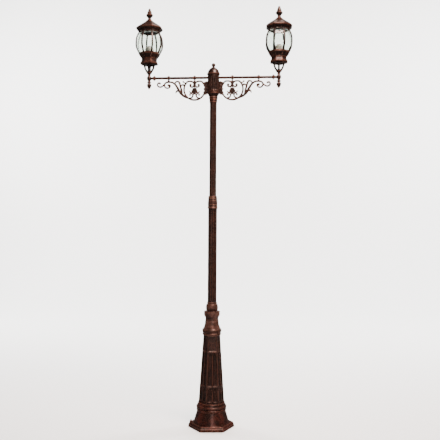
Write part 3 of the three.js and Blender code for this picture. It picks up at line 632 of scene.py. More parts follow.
@dataclass(frozen=True)
class AntiqueCopper(Finish):
    """Cast aluminium, powder coated near black, with copper paint wiped over the high places.

    The eye gets a dark satin skin, copper on edges and beads, near black in tight concave corners,
    and the fine dimples of powder coat over the slow waves of a sand casting. Real dimples and
    wiped specks are about half a millimetre wide: both are drawn wider, or they wouldn't show.
    """

    dark: str = "#1b100c"
    brown: str = "#3a2018"
    copper: str = "#a86e5a"
    corners: str = "#0b0706"
    wiped: float = 0.18
    rough: float = 0.3
    drift: Pattern = Pattern(45, 4)
    scuff: Pattern = Pattern(6, 5, 0.65)
    specks: Pattern = Pattern(1.6, 3, 0.6)
    dimples: Pattern = Pattern(1.1, 1.5, 0.5)
    waves: Pattern = Pattern(11, 2, 0.5)

    def shader(self, tree: bpy.types.NodeTree) -> bpy.types.Node:
        """Dark coat, brown drifts and copper rub, under dimples and casting waves.

        Args:
            tree: The node tree.

        Returns:
            The shader node.
        """
        place = add_node(tree, "ShaderNodeTexCoord").outputs["Object"]
        rub, pit = (
            add_node(tree, "ShaderNodeAttribute", {"attribute_name": wear.value}).outputs["Fac"]
            for wear in Wear)
        drift, scuff, specks, dimples, waves = (
            add_node(tree, "ShaderNodeTexNoise", inputs={
                "Vector": place, "Scale": 1000 / pattern.size, "Detail": pattern.detail,
                "Roughness": pattern.rough})
            for pattern in (self.drift, self.scuff, self.specks, self.dimples, self.waves))
        haze, scraped, speckled, black, dull = (
            add_node(tree, "ShaderNodeMapRange", SMOOTHLY, {
                0: source, 1: read.low, 2: read.high, 3: read.least, 4: read.most})
            for source, read in (
                (drift, Reading(0.4, 0.66, 0.1, self.wiped + 0.4)),
                (scuff, Reading(0.36, 0.68, 0.08, 0.6)),
                (specks, Reading(0.52, 0.72, 0, self.wiped)),
                (pit, Reading(0.05, 0.8, 0, 0.75)),
                (scuff, Reading(0.3, 0.75, self.rough - 0.06, self.rough + 0.12))))
        worn, dusted = (
            add_node(tree, "ShaderNodeMath", {"operation": "MULTIPLY", "use_clamp": True},
                     {0: share, 1: where})
            for share, where in ((scraped, rub), (speckled, drift)))
        wiped = add_node(tree, "ShaderNodeMath", {"operation": "ADD", "use_clamp": True},
                         {0: worn, 1: dusted})
        colour = linear(self.dark)
        for share, layer in ((haze, self.brown), (wiped, self.copper), (black, self.corners)):
            colour = add_node(tree, "ShaderNodeMix", IN_COLOUR, {
                0: share, 6: colour, 7: linear(layer)}).outputs[MIXED]
        shine = add_node(tree, "ShaderNodeMapRange", SMOOTHLY, {
            0: wiped, 1: 0, 2: 0.8, 3: 0.45, 4: 0.9})
        fine = add_node(tree, "ShaderNodeBump", inputs={
            "Strength": 0.16, "Distance": 0.0002, "Height": dimples})
        slow = add_node(tree, "ShaderNodeBump", inputs={
            "Strength": 0.3, "Distance": 0.0005, "Height": waves, "Normal": fine})
        return add_node(tree, "ShaderNodeBsdfPrincipled", inputs={
            "Base Color": colour, "Metallic": shine, "Roughness": dull, "Normal": slow})


@dataclass(frozen=True)
class Clouded(Finish):
    """A plain material whose colour, gloss and relief drift a little, as real ones do.

    What is left at None is the same all over and is set on the shader itself, by steady.
    """

    steady: tuple[tuple[str, float | tuple], ...] = ()
    tints: tuple[str, str] | None = None
    cloud: Pattern = Pattern(20)
    tinted: Reading = Reading(0.3, 0.7)
    gloss: Pattern = Pattern(20)
    glossed: Reading | None = None
    relief: Pattern | None = None
    strength: float = 0.0
    depth: float = 0.0001

    def shader(self, tree: bpy.types.NodeTree) -> bpy.types.Node:
        """A plain shader with its clouds, gloss drift and relief.

        Args:
            tree: The node tree.

        Returns:
            The shader node.
        """
        place = add_node(tree, "ShaderNodeTexCoord").outputs["Object"]
        used = {
            "Base Color": self.cloud if self.tints else None,
            "Roughness": self.gloss if self.glossed else None,
            "Normal": self.relief}
        inputs = dict(self.steady)
        for socket, pattern in used.items():
            if pattern is None:
                continue
            mapped = add_node(tree, "ShaderNodeMapping", inputs={
                "Vector": place, "Scale": pattern.stretch})
            noise = add_node(tree, "ShaderNodeTexNoise", inputs={
                "Vector": mapped, "Scale": 1000 / pattern.size, "Detail": pattern.detail,
                "Roughness": pattern.rough})
            if socket == "Normal":
                inputs[socket] = add_node(tree, "ShaderNodeBump", inputs={
                    "Strength": self.strength, "Distance": self.depth, "Height": noise})
                continue
            read = self.tinted if socket == "Base Color" else self.glossed
            share = add_node(tree, "ShaderNodeMapRange", SMOOTHLY, {
                0: noise, 1: read.low, 2: read.high, 3: read.least, 4: read.most})
            inputs[socket] = share
            if socket == "Base Color":
                first, second = (linear(tint) for tint in self.tints)
                inputs[socket] = add_node(tree, "ShaderNodeMix", IN_COLOUR, {
                    0: share, 6: first, 7: second}).outputs[MIXED]
        return add_node(tree, "ShaderNodeBsdfPrincipled", inputs=inputs)


COPPER = AntiqueCopper("antique copper powder coat")
# The skirt's copy is redder and carries more copper: painted warm light on the skirt.
SKIRT_COPPER_LIT = AntiqueCopper("antique copper powder coat, redder", brown="#4a2018", wiped=0.3)
# The beads' copy: more copper wiped on, and paler colours that are painted highlights on the beads.
BEAD_COPPER_AND_HIGHLIGHT = AntiqueCopper("antique copper powder coat, wiped beads", dark="#2a1710",
                            brown="#5a3c33", copper="#b58371", wiped=0.6)
# The barrel's copy: darker and barely wiped, a painted shade on the reeded barrel.
SHADED_COPPER = AntiqueCopper("antique copper powder coat, dark", brown="#26160f", wiped=0.06)
# Moulded clear glass: a faint grey-green body, slow waves and a breath of dust.
GLASS = Clouded(
    "moulded lantern glass",
    (("Base Color", linear("#e9efe9")), ("Transmission Weight", 1.0), ("IOR", 1.5)),
    gloss=Pattern(12, 5, 0.6), glossed=Reading(0.4, 0.75, 0.01, 0.07),
    relief=Pattern(30, 2, 0.5), strength=0.12, depth=0.001)
# A bulb's opal polycarbonate: milky and satin, with a faint cloud from moulding.
OPAL = Clouded(
    "opal polycarbonate",
    (("Subsurface Weight", 0.4), ("Subsurface Radius", (0.004, 0.004, 0.004))),
    tints=("#f4f3ee", "#e9e7df"), glossed=Reading(0.3, 0.7, 0.28, 0.4))
# A lampholder's glazed porcelain: off-white and glossy. Its pinholes are far under a
# millimetre, and are drawn 1.2 mm wide so that they show.
PORCELAIN = Clouded(
    "glazed porcelain", tints=("#ece8de", "#dcd6c8"), cloud=Pattern(8), gloss=Pattern(8),
    glossed=Reading(0.35, 0.7, 0.12, 0.28), relief=Pattern(1.2, 2), strength=0.15, depth=0.0002)
# Zinc-plated steel: pale grey, with the cloudy bloom of old plating and turning marks, which
# are drawn 0.9 mm wide because real ones are too fine to show.
ZINC = Clouded(
    "zinc-plated steel", (("Metallic", 1.0),), tints=("#a9abad", "#7d7f80"),
    cloud=Pattern(9, 4), tinted=Reading(0.35, 0.7), gloss=Pattern(9, 4),
    glossed=Reading(0.3, 0.7, 0.24, 0.46), relief=Pattern(0.9, 2, 0.5, (0.15, 0.15, 1.0)),
    strength=0.25)
# A terminal block's moulded plastic: dark grey, with the 0.8 mm grain of a sparked mould.
PLASTIC = Clouded(
    "dark terminal plastic", tints=("#2c2d2f", "#38393b"), gloss=Pattern(0.8, 2),
    glossed=Reading(0.3, 0.7, 0.45, 0.6), relief=Pattern(0.8, 2), strength=0.35)
# The studio's seamless paper: near white and matt, with its faint fibre.
PAPER = Clouded(
    "seamless paper", (("Roughness", 0.9), ("Specular IOR Level", 0.1)),
    tints=("#fbfbfa", "#f6f6f5"), cloud=Pattern(20, 4))


# ---- Post ------------------------------------------------------------------------------------


def from_foot(foot: float, points: Iterable[Point2]) -> list[Point2]:
    """Outline points given in millimetres above a foot, as metres in the frame."""
    return [(r / 1000, foot + z / 1000) for r, z in points]


@dataclass
class PostBase:
    """The cast foot: a moulded hexagon, a flared skirt, two beads and its three anchors."""

    node: str = "base_casting"
    body: str = "post"
    turn: float = math.radians(6)
    sides: int = 6
    anchors: int = 3

    def build(self) -> None:
        """Makes the casting and its anchors."""
        self.casting()
        for number in range(1, self.anchors + 1):
            self.anchor(number)

    def casting(self) -> None:
        """The foot's moulded edge, the skirt and the beads."""
        foot, _ = heights(self.node)
        edge = from_foot(foot, [
            (116, 0.1), (157.5, 0.1), (160, 2.5), (160, 12), (157.2, 13.4), (157.2, 15.2),
            (159.2, 16.6), (158.6, 19), (154.5, 23.5), (152, 28.5), (151.6, 30.8),
            (149.5, 32.2), (116, 33.2)])
        plate = prism(eased(edge, 0.0008), self.sides, self.turn, caps=False)
        skirt = from_foot(foot, [
            (112, 4), (112, 31), (126, 32.4), (123.4, 34.4), (121.8, 38), (99.4, 111),
            (98.8, 115), *bead(96.6, 117, 132, 6.2), *bead(96.2, 133.5, 152.5, 7.8),
            (98.4, 153.5), (95.6, 159), (93.6, 166), (93, 170), (91.5, 171.8), (66, 171.8)])
        body = turned(eased(skirt, 0.0009, 0.007), 120, caps=False)
        # The redder skirt copy paints the warm light on the skirt.
        obj = made(self.node, joined([plate, body]), SKIRT_COPPER_LIT)
        fitted(obj, self.body, "cast_aluminium", self.node)

    def anchor(self, number: int) -> None:
        """One stud with its washer and its chamfered nut.

        Args:
            number: The anchor's number, from 1.
        """
        stud, washer, nut = (f"anchor_{k}_{number}" for k in ("stud", "washer", "nut"))
        place = middle(stud)
        low, top = heights(stud)
        outline = np.array([
            (0.0001, low), (0.0044, low),
            *thread(low + 0.0005, top - 0.0015, 0.00075, 0.00475, 0.00045),
            (0.0041, top), (0.0001, top)])
        self.fastener(stud, turned(outline, 32), place)
        low, top = heights(washer)
        ring = eased([(0.0054, low), (0.0094, low), (0.0094, top), (0.0054, top), (0.0054, low)],
                     0.0004, 0.002)
        self.fastener(washer, turned(ring, 48, caps=False), place)
        low, top = heights(nut)
        body = eased([(0.0054, low), (0.0086, low), (0.0090, low + 0.0006),
                      (0.0090, top - 0.0012), (0.0078, top), (0.0062, top), (0.0054, top - 0.001),
                      (0.0054, low)], 0.0003, 0.002)
        self.fastener(nut, prism(body, 6, 0.3 * number, caps=False, sharp=180), place)

    def fastener(self, node: str, skin: Skin, place: Vector) -> None:
        """Dresses one fastener at its place."""
        obj = made(node, moved(skin, place.x, place.y), COPPER, 50)
        fitted(obj, self.body, "painted_steel", node)


@dataclass
class Column:
    """The six-sided column in three tiers of relief, its capital and the ball collar."""

    shaft: str = "column_shaft"
    capital_node: str = "column_capital"
    collar: str = "ball_collar"
    body: str = "post"
    turn: float = math.radians(10)
    bottom: float = 0.089
    top: float = 0.0584
    sides: int = 6
    bands: tuple[float, float] = (0.288, 0.524)
    band_proud: float = 0.0013
    band_half: float = 0.0014
    flute_deep: float = 0.0046
    per_side: int = 44

    def build(self) -> None:
        """Makes the shaft, the capital and the collar."""
        self.relief()
        self.capital()
        self.ball()

    def radius(self, z: float) -> float:
        """The corner radius at a height."""
        low, high = heights(self.shaft)
        return float(np.interp(z, [low, high], [self.bottom, self.top]))

    def facings(self) -> list[float]:
        """The direction that each side faces, as an angle."""
        return [self.turn + (side + 0.5) * 2 * math.pi / self.sides for side in range(self.sides)]

    def lancet(self, u: np.ndarray, z: float, half: float, foot: float, head: float
               ) -> np.ndarray:
        """The depth of two lancet flutes side by side.

        Args:
            u: Places across the side, from its middle.
            z: The height.
            half: Half the side's width.
            foot: Where the flutes begin.
            head: Where their points end.

        Returns:
            The depth at each place.
        """
        rib, land = 0.0018, 0.0062
        wide = (half - rib - land) / 2
        arch = 2.1 * wide
        if not foot < z < head:
            return np.zeros_like(u)
        grow = 1.0
        if z > head - arch:
            grow = 1 - ((z - head + arch) / arch) ** 1.7
        if z < foot + wide * 0.8:
            grow = min(grow, math.sqrt(max(0.0, 1 - (1 - (z - foot) / (wide * 0.8)) ** 2)))
        near = np.abs(np.abs(u) - rib - wide) / max(wide * grow, 1e-5)
        return (self.flute_deep * math.sqrt(max(grow, 0))
                * np.sqrt(np.clip(1 - near**2.4, 0, 1)))

    def scales(self, u: np.ndarray, z: float, half: float, foot: float, head: float
               ) -> np.ndarray:
        """The depth of the top tier's arched panel, filled with overlapping scales.

        Args:
            u: Places across the side, from its middle.
            z: The height.
            half: Half the side's width.
            foot: Where the panel begins.
            head: Where its point ends.

        Returns:
            The depth at each place.
        """
        wide = half - 0.0066
        arch = 1.15 * wide
        if not foot < z < head:
            return np.zeros_like(u)
        grow = 1 - max(0.0, (z - head + arch) / arch) ** 1.8
        inside = np.clip((wide * grow - np.abs(u)) / 0.0012, 0, 1)
        inside = inside * np.clip((z - foot) / 0.0015, 0, 1)
        pitch, rise = 0.0125, 0.0095
        height = np.zeros_like(u)
        row = math.floor((z - foot) / rise)
        for k in (row + 1, row, row - 1):
            centre = foot + (k + 0.5) * rise
            shift = 0.5 * (k % 2)
            du = (np.mod(u / pitch + shift + 0.5, 1) - 0.5) * pitch
            reach = np.hypot(du, (z - centre) * 0.85) / 0.0072
            scale = np.where((reach < 1) & (z < centre + 0.003), 0.45 + 0.55 * reach**3, 0)
            height = np.maximum(height, scale)
        return inside * (0.0046 - 0.0024 * height)

    def relief(self) -> None:
        """The shaft's skin, cut row by row from its lancets, bands and scales."""
        low, high = heights(self.shaft)
        first, second = self.bands
        fine = [np.linspace(b - 0.003, b + 0.003, 9) for b in self.bands]
        rows = np.unique(np.round(np.concatenate([spread(low, high, 0.0024), *fine]), 5))
        share = np.linspace(-1, 1, self.per_side + 1)[:-1]
        rings = []
        for z in rows:
            corner = self.radius(z)
            half = corner / 2
            u = share * half
            depth = self.lancet(u, z, half, low + 0.013, first - 0.004)
            depth += self.lancet(u, z, half, first + 0.005, second - 0.005)
            depth += self.scales(u, z, half, second + 0.004, high - 0.008)
            for band in self.bands:
                depth -= self.band_proud * math.exp(-(((z - band) / self.band_half) ** 2))
            ring = []
            for facing in self.facings():
                normal = np.array([math.cos(facing), math.sin(facing)])
                along = np.array([-normal[1], normal[0]])
                flat = corner * math.cos(math.pi / self.sides) * normal + u[:, None] * along
                angle = np.arctan2(flat[:, 1], flat[:, 0])
                reach = corner * polygon_reach(angle, self.sides, self.turn, 150)
                flat = np.stack([np.cos(angle), np.sin(angle)], axis=1) * reach[:, None]
                ring.append(flat - depth[:, None] * normal)
            ring = np.vstack(ring)
            rings.append(np.column_stack([ring, np.full(len(ring), z)]))
        shaft = grid(np.array(rings))
        obj = made(self.shaft, joined([shaft, *self.studs()]), COPPER, 55)
        fitted(obj, self.body, "cast_aluminium", self.shaft)

    def studs(self) -> list[Skin]:
        """The small bosses on the middle rib of each side, over the first band and under the second.

        Returns:
            One skin per boss.
        """
        dome = eased([(0.0001, 0.0048), (0.0018, 0.0042), (0.0032, 0.0026), (0.0038, 0),
                      (0.0038, -0.002)][::-1], 0.0008, 0.002)
        skins = []
        for z in (self.bands[0] + 0.006, self.bands[1] - 0.006):
            apothem = self.radius(z) * math.cos(math.pi / self.sides)
            for facing in self.facings():
                skins.append(moved(turned(dome, 20), apothem * math.cos(facing),
                                   apothem * math.sin(facing), z, facing, math.pi / 2))
        return skins

    def capital(self) -> None:
        """Two beads, a waisted neck with a ridge, and the cup that the tube stands in."""
        foot, _ = heights(self.capital_node)
        outline = from_foot(foot, [
            (52, 0), (60.4, 0), (61, 1.6), *bead(59.4, 2.4, 17.4, 5.2),
            *bead(59.6, 19, 45.6, 7), (58.4, 47.6), (56.4, 53), (51.6, 67), (48.2, 82),
            (47.2, 91), *bead(46.6, 93, 98, 1.9, 6), (45.8, 101), (44.6, 117), (46.2, 123.6),
            (50.4, 129.6), (54, 138), (55.2, 147), (54.6, 155), *bead(54, 156.4, 165.6, 1.7, 8),
            (50, 165.9), (32, 163)])
        # The beads' paler copy: wiped copper and painted highlights.
        obj = made(self.capital_node, turned(eased(outline, 0.0009), 112, caps=False), BEAD_COPPER_AND_HIGHLIGHT)
        fitted(obj, self.body, "cast_aluminium", self.capital_node)

    def ball(self) -> None:
        """The ball and the ring above it."""
        foot, _ = heights(self.collar)
        outline = from_foot(foot, [
            (31.4, 0.2), (35.6, 0.2), *bead(34.6, 1.4, 48, 7.8, 20), (34.6, 49),
            *bead(33, 50, 62.2, 2.2), (31.4, 62.6)])
        # The beads' paler copy: wiped copper and painted highlights.
        obj = made(self.collar, turned(eased(outline, 0.0006), 96, caps=False), BEAD_COPPER_AND_HIGHLIGHT)
        fitted(obj, self.body, "cast_aluminium", self.collar)


@dataclass
class Tubes:
    """The two fluted tubes, the collar over their joint and the rings under the hub."""

    body: str = "post"
    flutes: Flutes = Flutes(count=12, deep=0.0019, half=0.4, points=14, step=0.03, rows=14,
                            past=0.002)

    def build(self) -> None:
        """Makes the tubes, their collars and the sleeve inside."""
        middle_low, middle_high = heights("middle_collar")
        neck_low, _ = heights("neck_collar")
        _, ball_top = heights("ball_collar")
        self.tube("lower_tube", ball_top + 0.006, middle_low - 0.012)
        self.tube("upper_tube", middle_high + 0.01, neck_low - 0.008)
        self.middle_collar()
        self.neck_collar()
        self.sleeve()

    def tube(self, node: str, start: float, end: float) -> None:
        """One extruded tube, its flutes stopped with round ends.

        Args:
            node: The CAD node.
            start: Where its flutes start.
            end: Where they end.
        """
        low, high = heights(node)
        corner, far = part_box(node)
        radius = (far.x - corner.x) / 2
        rounding = self.flutes.half * 2 * math.pi * radius / self.flutes.count
        skin = self.flutes.skin(low, high, start, end, radius, rounding)
        obj = made(node, skin, COPPER, 60)
        fitted(obj, self.body, "extruded_aluminium", node)

    def middle_collar(self) -> None:
        """The collar over the tubes' joint: a lip, a plain band and four beads."""
        foot, _ = heights("middle_collar")
        outline = from_foot(foot, [
            (31.4, 0.1), (34.6, 0.1), *bead(34, 0.6, 6.4, 2.4, 8), (33, 7.6),
            *bead(32.6, 8.4, 14, 1.2, 8), (32, 16), (32, 19), *bead(32, 20.4, 28, 2.2, 8),
            (32.4, 30), (33.6, 36), (33.6, 42), (32.2, 48), *bead(31.6, 49.4, 56.6, 2.2, 8),
            (30.8, 58.6), (30.6, 61.4), *bead(30.4, 62.6, 70, 1.9, 8), (29.8, 72.6),
            *bead(29, 74, 83, 2, 8), (27.6, 84.8), (24.9, 85.8)])
        skin = turned(eased(outline, 0.0005, 0.003), caps=False)
        # The beads' paler copy: wiped copper and painted highlights.
        obj = made("middle_collar", skin, BEAD_COPPER_AND_HIGHLIGHT)
        fitted(obj, self.body, "cast_aluminium", "middle_collar")

    def neck_collar(self) -> None:
        """A plain drum and a bold ring."""
        foot, _ = heights("neck_collar")
        outline = from_foot(foot, [
            (24.9, 0.1), (27, 0.1), *bead(26.6, 1, 6, 1.6, 8), (26.8, 7.5), (27.2, 17),
            *bead(26.6, 18, 23, 1.6, 8), (26.4, 24.6), *bead(26.6, 25.4, 36.4, 4.6), (24.9, 36.8)])
        obj = made("neck_collar", turned(eased(outline, 0.0005, 0.003), 96, caps=False), COPPER)
        fitted(obj, self.body, "cast_aluminium", "neck_collar")

    def sleeve(self) -> None:
        """The stepped sleeve that carries the upper tube, hidden inside both."""
        low, high = heights("tube_coupler")
        joint, _ = heights("upper_tube")
        corner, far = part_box("tube_coupler")
        wide, slim = (far.x - corner.x) / 2, 0.019
        outline = eased([(0.014, low), (wide, low), (wide, joint - 0.0005), (slim, joint),
                         (slim, high), (0.014, high), (0.014, low)], 0.0006, 0.02)
        obj = made("tube_coupler", turned(outline, 64, caps=False), ZINC)
        fitted(obj, self.body, "zinc_steel", "tube_coupler")


# ---- Hub -------------------------------------------------------------------------------------


@dataclass
class Hub:
    """The reeded barrel that the arms start from, between its bowl and its dome."""

    body: str = "head"
    barrel_radius: float = 0.04
    reeds: Flutes = Flutes(count=22, deep=0.0021, half=0.46, points=10, step=0.012, rows=10,
                           past=0.001)

    def build(self) -> None:
        """Makes the hub from its bowl to its finial, and what it holds."""
        self.bowl()
        self.barrel()
        self.dome()
        self.finial()
        self.inside()

    def dress(self, node: str, skin: Skin, finish: Finish = COPPER,
              slot: str = "cast_aluminium", sharp: float = 40) -> None:
        """Dresses one of the hub's pieces."""
        fitted(made(node, skin, finish, sharp), self.body, slot, node)

    def bowl(self) -> None:
        """The bowl over the tube's top, with two fine steps under its lip."""
        foot, _ = heights("hub_bowl")
        outline = from_foot(foot, [
            (25.6, 0.3), (29.4, 0.3), (30.2, 1.6), (30, 5), (31.2, 8), (36.2, 14.5), (39.4, 20),
            (40.4, 22.4), *bead(40, 23.2, 28.6, 1.8, 8), (40.2, 29.6), (41.8, 30.6),
            (42, 34.2), (35.5, 34.8)])
        self.dress("hub_bowl", turned(eased(outline, 0.0006, 0.004), 96, caps=False))

    def barrel(self) -> None:
        """The barrel, reeded between two plain bands, with its holes closed by the bars."""
        low, high = heights("hub_body")
        skin = self.reeds.skin(low, high, low + 0.008, high - 0.012, self.barrel_radius, 0.005)
        # The darker copy paints the shade on the barrel.
        self.dress("hub_body", skin, SHADED_COPPER, "extruded_aluminium", 60)

    def dome(self) -> None:
        """The dome with its lip and the neck that the finial stands on."""
        foot, _ = heights("hub_dome")
        outline = from_foot(foot, [
            (35.6, 0.2), (41, 0.2), (42.4, 1.2), *bead(43, 1.8, 9.6, 2.6, 10), (42.4, 10.6),
            (41.2, 12.6), (39.4, 19), (37, 26), (33.4, 32.8), (28.4, 39), (22.4, 44.4),
            (16, 48.6), (11.6, 50.4), (10.4, 51), (9.4, 53), (4.6, 53)])
        self.dress("hub_dome", turned(eased(outline, 0.0016, 0.0035), 96, caps=False))

    def finial(self) -> None:
        """The small ball on a disc."""
        foot, _ = heights("hub_finial")
        outline = from_foot(foot, [
            (0.1, 0.2), (8.8, 0.2), (9.4, 1), (8.4, 2.4), (7.4, 3.2), (8.6, 4.8), (11.2, 7.6),
            (13, 11), (13.6, 15), (13, 19.4), (11, 23.6), (7.8, 26.8), (4, 28.5), (0.1, 29)])
        self.dress("hub_finial", turned(eased(outline, 0.0005, 0.002), 64))

    def inside(self) -> None:
        """The tie rod and the terminal block that the hub hides."""
        low, high = heights("hub_tie_rod")
        seat, _ = heights("terminal_block")
        outline = np.array([
            (0.0001, low), (0.0036, low), (0.004, low + 0.001), (0.004, seat - 0.0034),
            (0.0088, seat - 0.0034), (0.0088, seat - 0.0004), (0.004, seat - 0.0004),
            (0.004, seat + 0.026), *thread(seat + 0.0262, high - 0.002, 0.0008, 0.004, 0.0004),
            (0.0032, high), (0.0001, high)])
        self.dress("hub_tie_rod", turned(outline, 32), ZINC, "zinc_steel")
        corner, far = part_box("terminal_block")
        half = (far - corner) / 2
        spot = middle("terminal_block")
        ring = [(sx * (half.x - ox), sy * (half.y - oy)) for sx, sy, ox, oy in (
            (1, 1, 0.001, 0), (-1, 1, 0.001, 0), (-1, 1, 0, 0.001), (-1, -1, 0, 0.001),
            (-1, -1, 0.001, 0), (1, -1, 0.001, 0), (1, -1, 0, 0.001), (1, 1, 0, 0.001))]
        levels = [(-half.z, 0.97), (-half.z + 0.001, 1), (half.z - 0.001, 1), (half.z, 0.97)]
        rings = np.array([[(x * k, y * k, z) for x, y in ring] for z, k in levels])
        port = turned(eased([(0.0016, -0.002), (0.0034, -0.002), (0.0034, 0.0006),
                             (0.0016, 0.0006)], 0.0003, 0.002), 20)
        block = [moved(grid(rings), spot.x, spot.y, spot.z)]
        block += [moved(port, x, y, far.z) for x in (-0.016, 0.016) for y in (-0.005, 0.005)]
        self.dress("terminal_block", joined(block), PLASTIC, "terminal_plastic")


# ---- Arms ------------------------------------------------------------------------------------

# The scroll bracket's lines, in millimetres from its ring's centre.
HUMP = [(49, 54.5), (34, 57), (16, 53), (6, 44), (4.6, 30), (11, 19.6), (22, 16.6), (31, 22),
        (32.4, 30.5), (27, 34)]
CURL = [(-38, -62), (-22, -58), (-13, -47), (-15, -34), (-25, -27), (-33, -33), (-31, -40)]
MAIN = [(34, -65), (58, -55), (80, -42), (101, -20), (118, 10), (136, 36), (156, 50), (181, 53)]
END_CURL = [(181, 53), (199, 49), (210, 37), (208, 21), (192, 10), (175, 16), (170.4, 28),
            (178, 35)]
TAIL = [(203, 46), (216, 31), (235, 19), (253, 22), (260, 36), (252, 48), (241, 46)]
LEAF = [(84, -36), (91, -8), (98, 18), (106, 46), (117, 56.5), (131, 52), (138, 38)]
EAR = [(-62, 26), (-71, 14), (-61, 3), (-67, -10), (-58, -26)]


def flipped(points: Sequence[Point2]) -> list[Point2]:
    """Bracket points on the ring's other side."""
    return [(-x, z) for x, z in points]


@dataclass
class Arm:
    """One half of the crossbar with its scroll bracket, clips, end hub and drop."""

    side: Side
    body: str = "head"
    depth: float = 0.0102
    strand_width: float = 0.012
    drawn_width: float = 7.8
    ring_radius: float = 73.5
    ring_drop: float = 0.0797
    bar_radius: float = 0.0084
    bar_bore: float = 0.0055
    hub_face: float = 0.0375

    @property
    def turn(self) -> float:
        """The angle that carries the right-hand arm to this one."""
        return 0.0 if self.side is Side.RIGHT else math.pi

    @property
    def axis(self) -> float:
        """The height of the bar's axis."""
        return middle(self.node("arm_bar")).z

    @property
    def ring_x(self) -> float:
        """Where the bracket's ring has its centre along the arm: under the inner clip."""
        return abs(middle(self.node("clip_inner")).x)

    @property
    def ring_z(self) -> float:
        """The height of the ring's centre."""
        return self.axis - self.ring_drop

    def node(self, name: str) -> str:
        """This side's CAD node of a name."""
        return f"{name}_{self.side.suffix}"

    def reach(self, name: str) -> tuple[float, float]:
        """Where a node starts and ends along the arm.

        Args:
            name: The node's name without its side.

        Returns:
            Its near and its far end, both positive.
        """
        low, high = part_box(self.node(name))
        near, far = sorted((abs(low.x), abs(high.x)))
        return near, far

    def dress(self, name: str, skin: Skin, finish: Finish = COPPER,
              slot: str = "cast_aluminium", fuse: float = 0) -> None:
        """Carries a piece to this side and dresses it."""
        obj = made(self.node(name), moved(skin, turn=self.turn), finish, fuse=fuse)
        fitted(obj, self.body, slot, self.node(name))

    def build(self) -> None:
        """Makes everything on the arm that doesn't turn with the lantern."""
        self.bar()
        self.collar()
        self.clip("clip_inner")
        self.clip("clip_outer")
        self.bracket()
        self.end_hub()
        self.drop()
        self.nipple()

    def along(self, skin: Skin, x: float) -> Skin:
        """A turned skin laid along the arm, from x on."""
        return moved(skin, x=x, z=self.axis, tilt=math.pi / 2)

    def bar(self) -> None:
        """The tube of the crossbar."""
        near, far = self.reach("arm_bar")
        bore, radius, length = self.bar_bore, self.bar_radius, far - near
        outline = eased([(bore, 0), (radius, 0), (radius, length), (bore, length), (bore, 0)],
                        0.0005, 0.02)
        self.dress("arm_bar", self.along(turned(outline, 48, caps=False), near),
                   slot="extruded_aluminium")

    def collar(self) -> None:
        """The swelling near the lantern, between two fine rings."""
        near, far = self.reach("bar_collar")
        length = (far - near) * 1000
        outline = from_foot(0, [
            (7.6, 0), (11, 0.2), *bead(10.6, 0.6, 3.6, 1.2, 6), (11, 4.2),
            *bead(11.4, 4.8, length - 4.8, 6.6, 12), (11, length - 4.2),
            *bead(10.6, length - 3.6, length - 0.6, 1.2, 6), (11, length - 0.2), (7.6, length)])
        self.dress("bar_collar", self.along(turned(eased(outline, 0.0004, 0.002), 64, caps=False),
                                            near))

    def clip(self, name: str) -> None:
        """A clip: a band between two rims, a screw on top and a waisted foot.

        Args:
            name: The clip's name without its side.
        """
        near, far = self.reach(name)
        length = (far - near) * 1000
        band = from_foot(0, [
            (7.7, 0), (11.6, 0.1), *bead(10.8, 0.5, 5, 1.5, 8), (10.4, 5.6),
            (10.4, length - 5.6), *bead(10.8, length - 5, length - 0.5, 1.5, 8),
            (11.6, length - 0.1), (7.7, length)])
        x = (near + far) / 2
        ring = self.along(turned(eased(band, 0.0004, 0.002), 64, caps=False), near)
        low, _ = heights(self.node(name))
        foot = swept(plane_line([(x, z) for z in np.linspace(self.axis - 0.009, low, 12)]),
                     [0.0135, 0.0085, 0.0095, 0.0125], [0.0095, 0.0085, 0.0085, 0.0095])
        head = eased([(0.0001, 0.0095), (0.0052, 0.0095), (0.0056, 0.0115), (0.0052, 0.0145),
                      (0.0034, 0.0162), (0.0001, 0.0166)], 0.0006, 0.0012)
        screw = moved(turned(head, 32), x=x, z=self.axis)
        self.dress(name, joined([ring, foot, screw]))

    def strand(self, points: Sequence[Point2], *widths: float, steps: int = 9) -> Skin:
        """A strand of the bracket, as a fused bar along a smooth line.

        Args:
            points: Its points, in millimetres from the ring's centre.
            *widths: Its widths along the way, where drawn_width is a plain strand's.
            steps: How many parts each stretch is cut in.

        Returns:
            The vertices and the faces.
        """
        line = plane_line(smooth_line(points, steps) / 1000)
        width = [w * self.strand_width / self.drawn_width for w in widths]
        depth = [self.depth * min(1.0, 0.55 + 0.45 * w / self.strand_width) for w in width]
        return swept(line, width, depth, square=2.3)

    def boss(self, x: float, z: float, radius: float) -> Skin:
        """A flattened ball at a scroll's end, in millimetres.

        Args:
            x: Its place along the arm, from the ring's centre.
            z: Its height above the ring's centre.
            radius: Its radius.

        Returns:
            The vertices and the faces.
        """
        r = radius / 1000
        thick = self.depth * 0.62
        outline = np.array([(max(r * math.cos(a), 1e-5), thick * math.sin(a))
                            for a in np.linspace(-math.pi / 2, math.pi / 2, 15)])
        verts, faces = turned(outline, 28)
        laid = np.column_stack([verts[:, 0], -verts[:, 2], verts[:, 1]])
        return laid + np.array([x / 1000, 0, z / 1000]), faces

    def slab(self, points: Sequence[Point2], depth: float) -> Skin:
        """A flat plate in the bar's plane.

        Args:
            points: Its outline in millimetres from the ring's centre, either way round.
            depth: Its thickness, in metres.

        Returns:
            The vertices and the faces.
        """
        flat = np.array(points, float) / 1000
        area = np.sum(flat[:, 0] * np.roll(flat[:, 1], -1) - flat[:, 1] * np.roll(flat[:, 0], -1))
        flat = flat if area > 0 else flat[::-1]
        rings = [plane_line(flat) + np.array([0, y, 0]) for y in (depth / 2, -depth / 2)]
        return grid(np.array(rings))

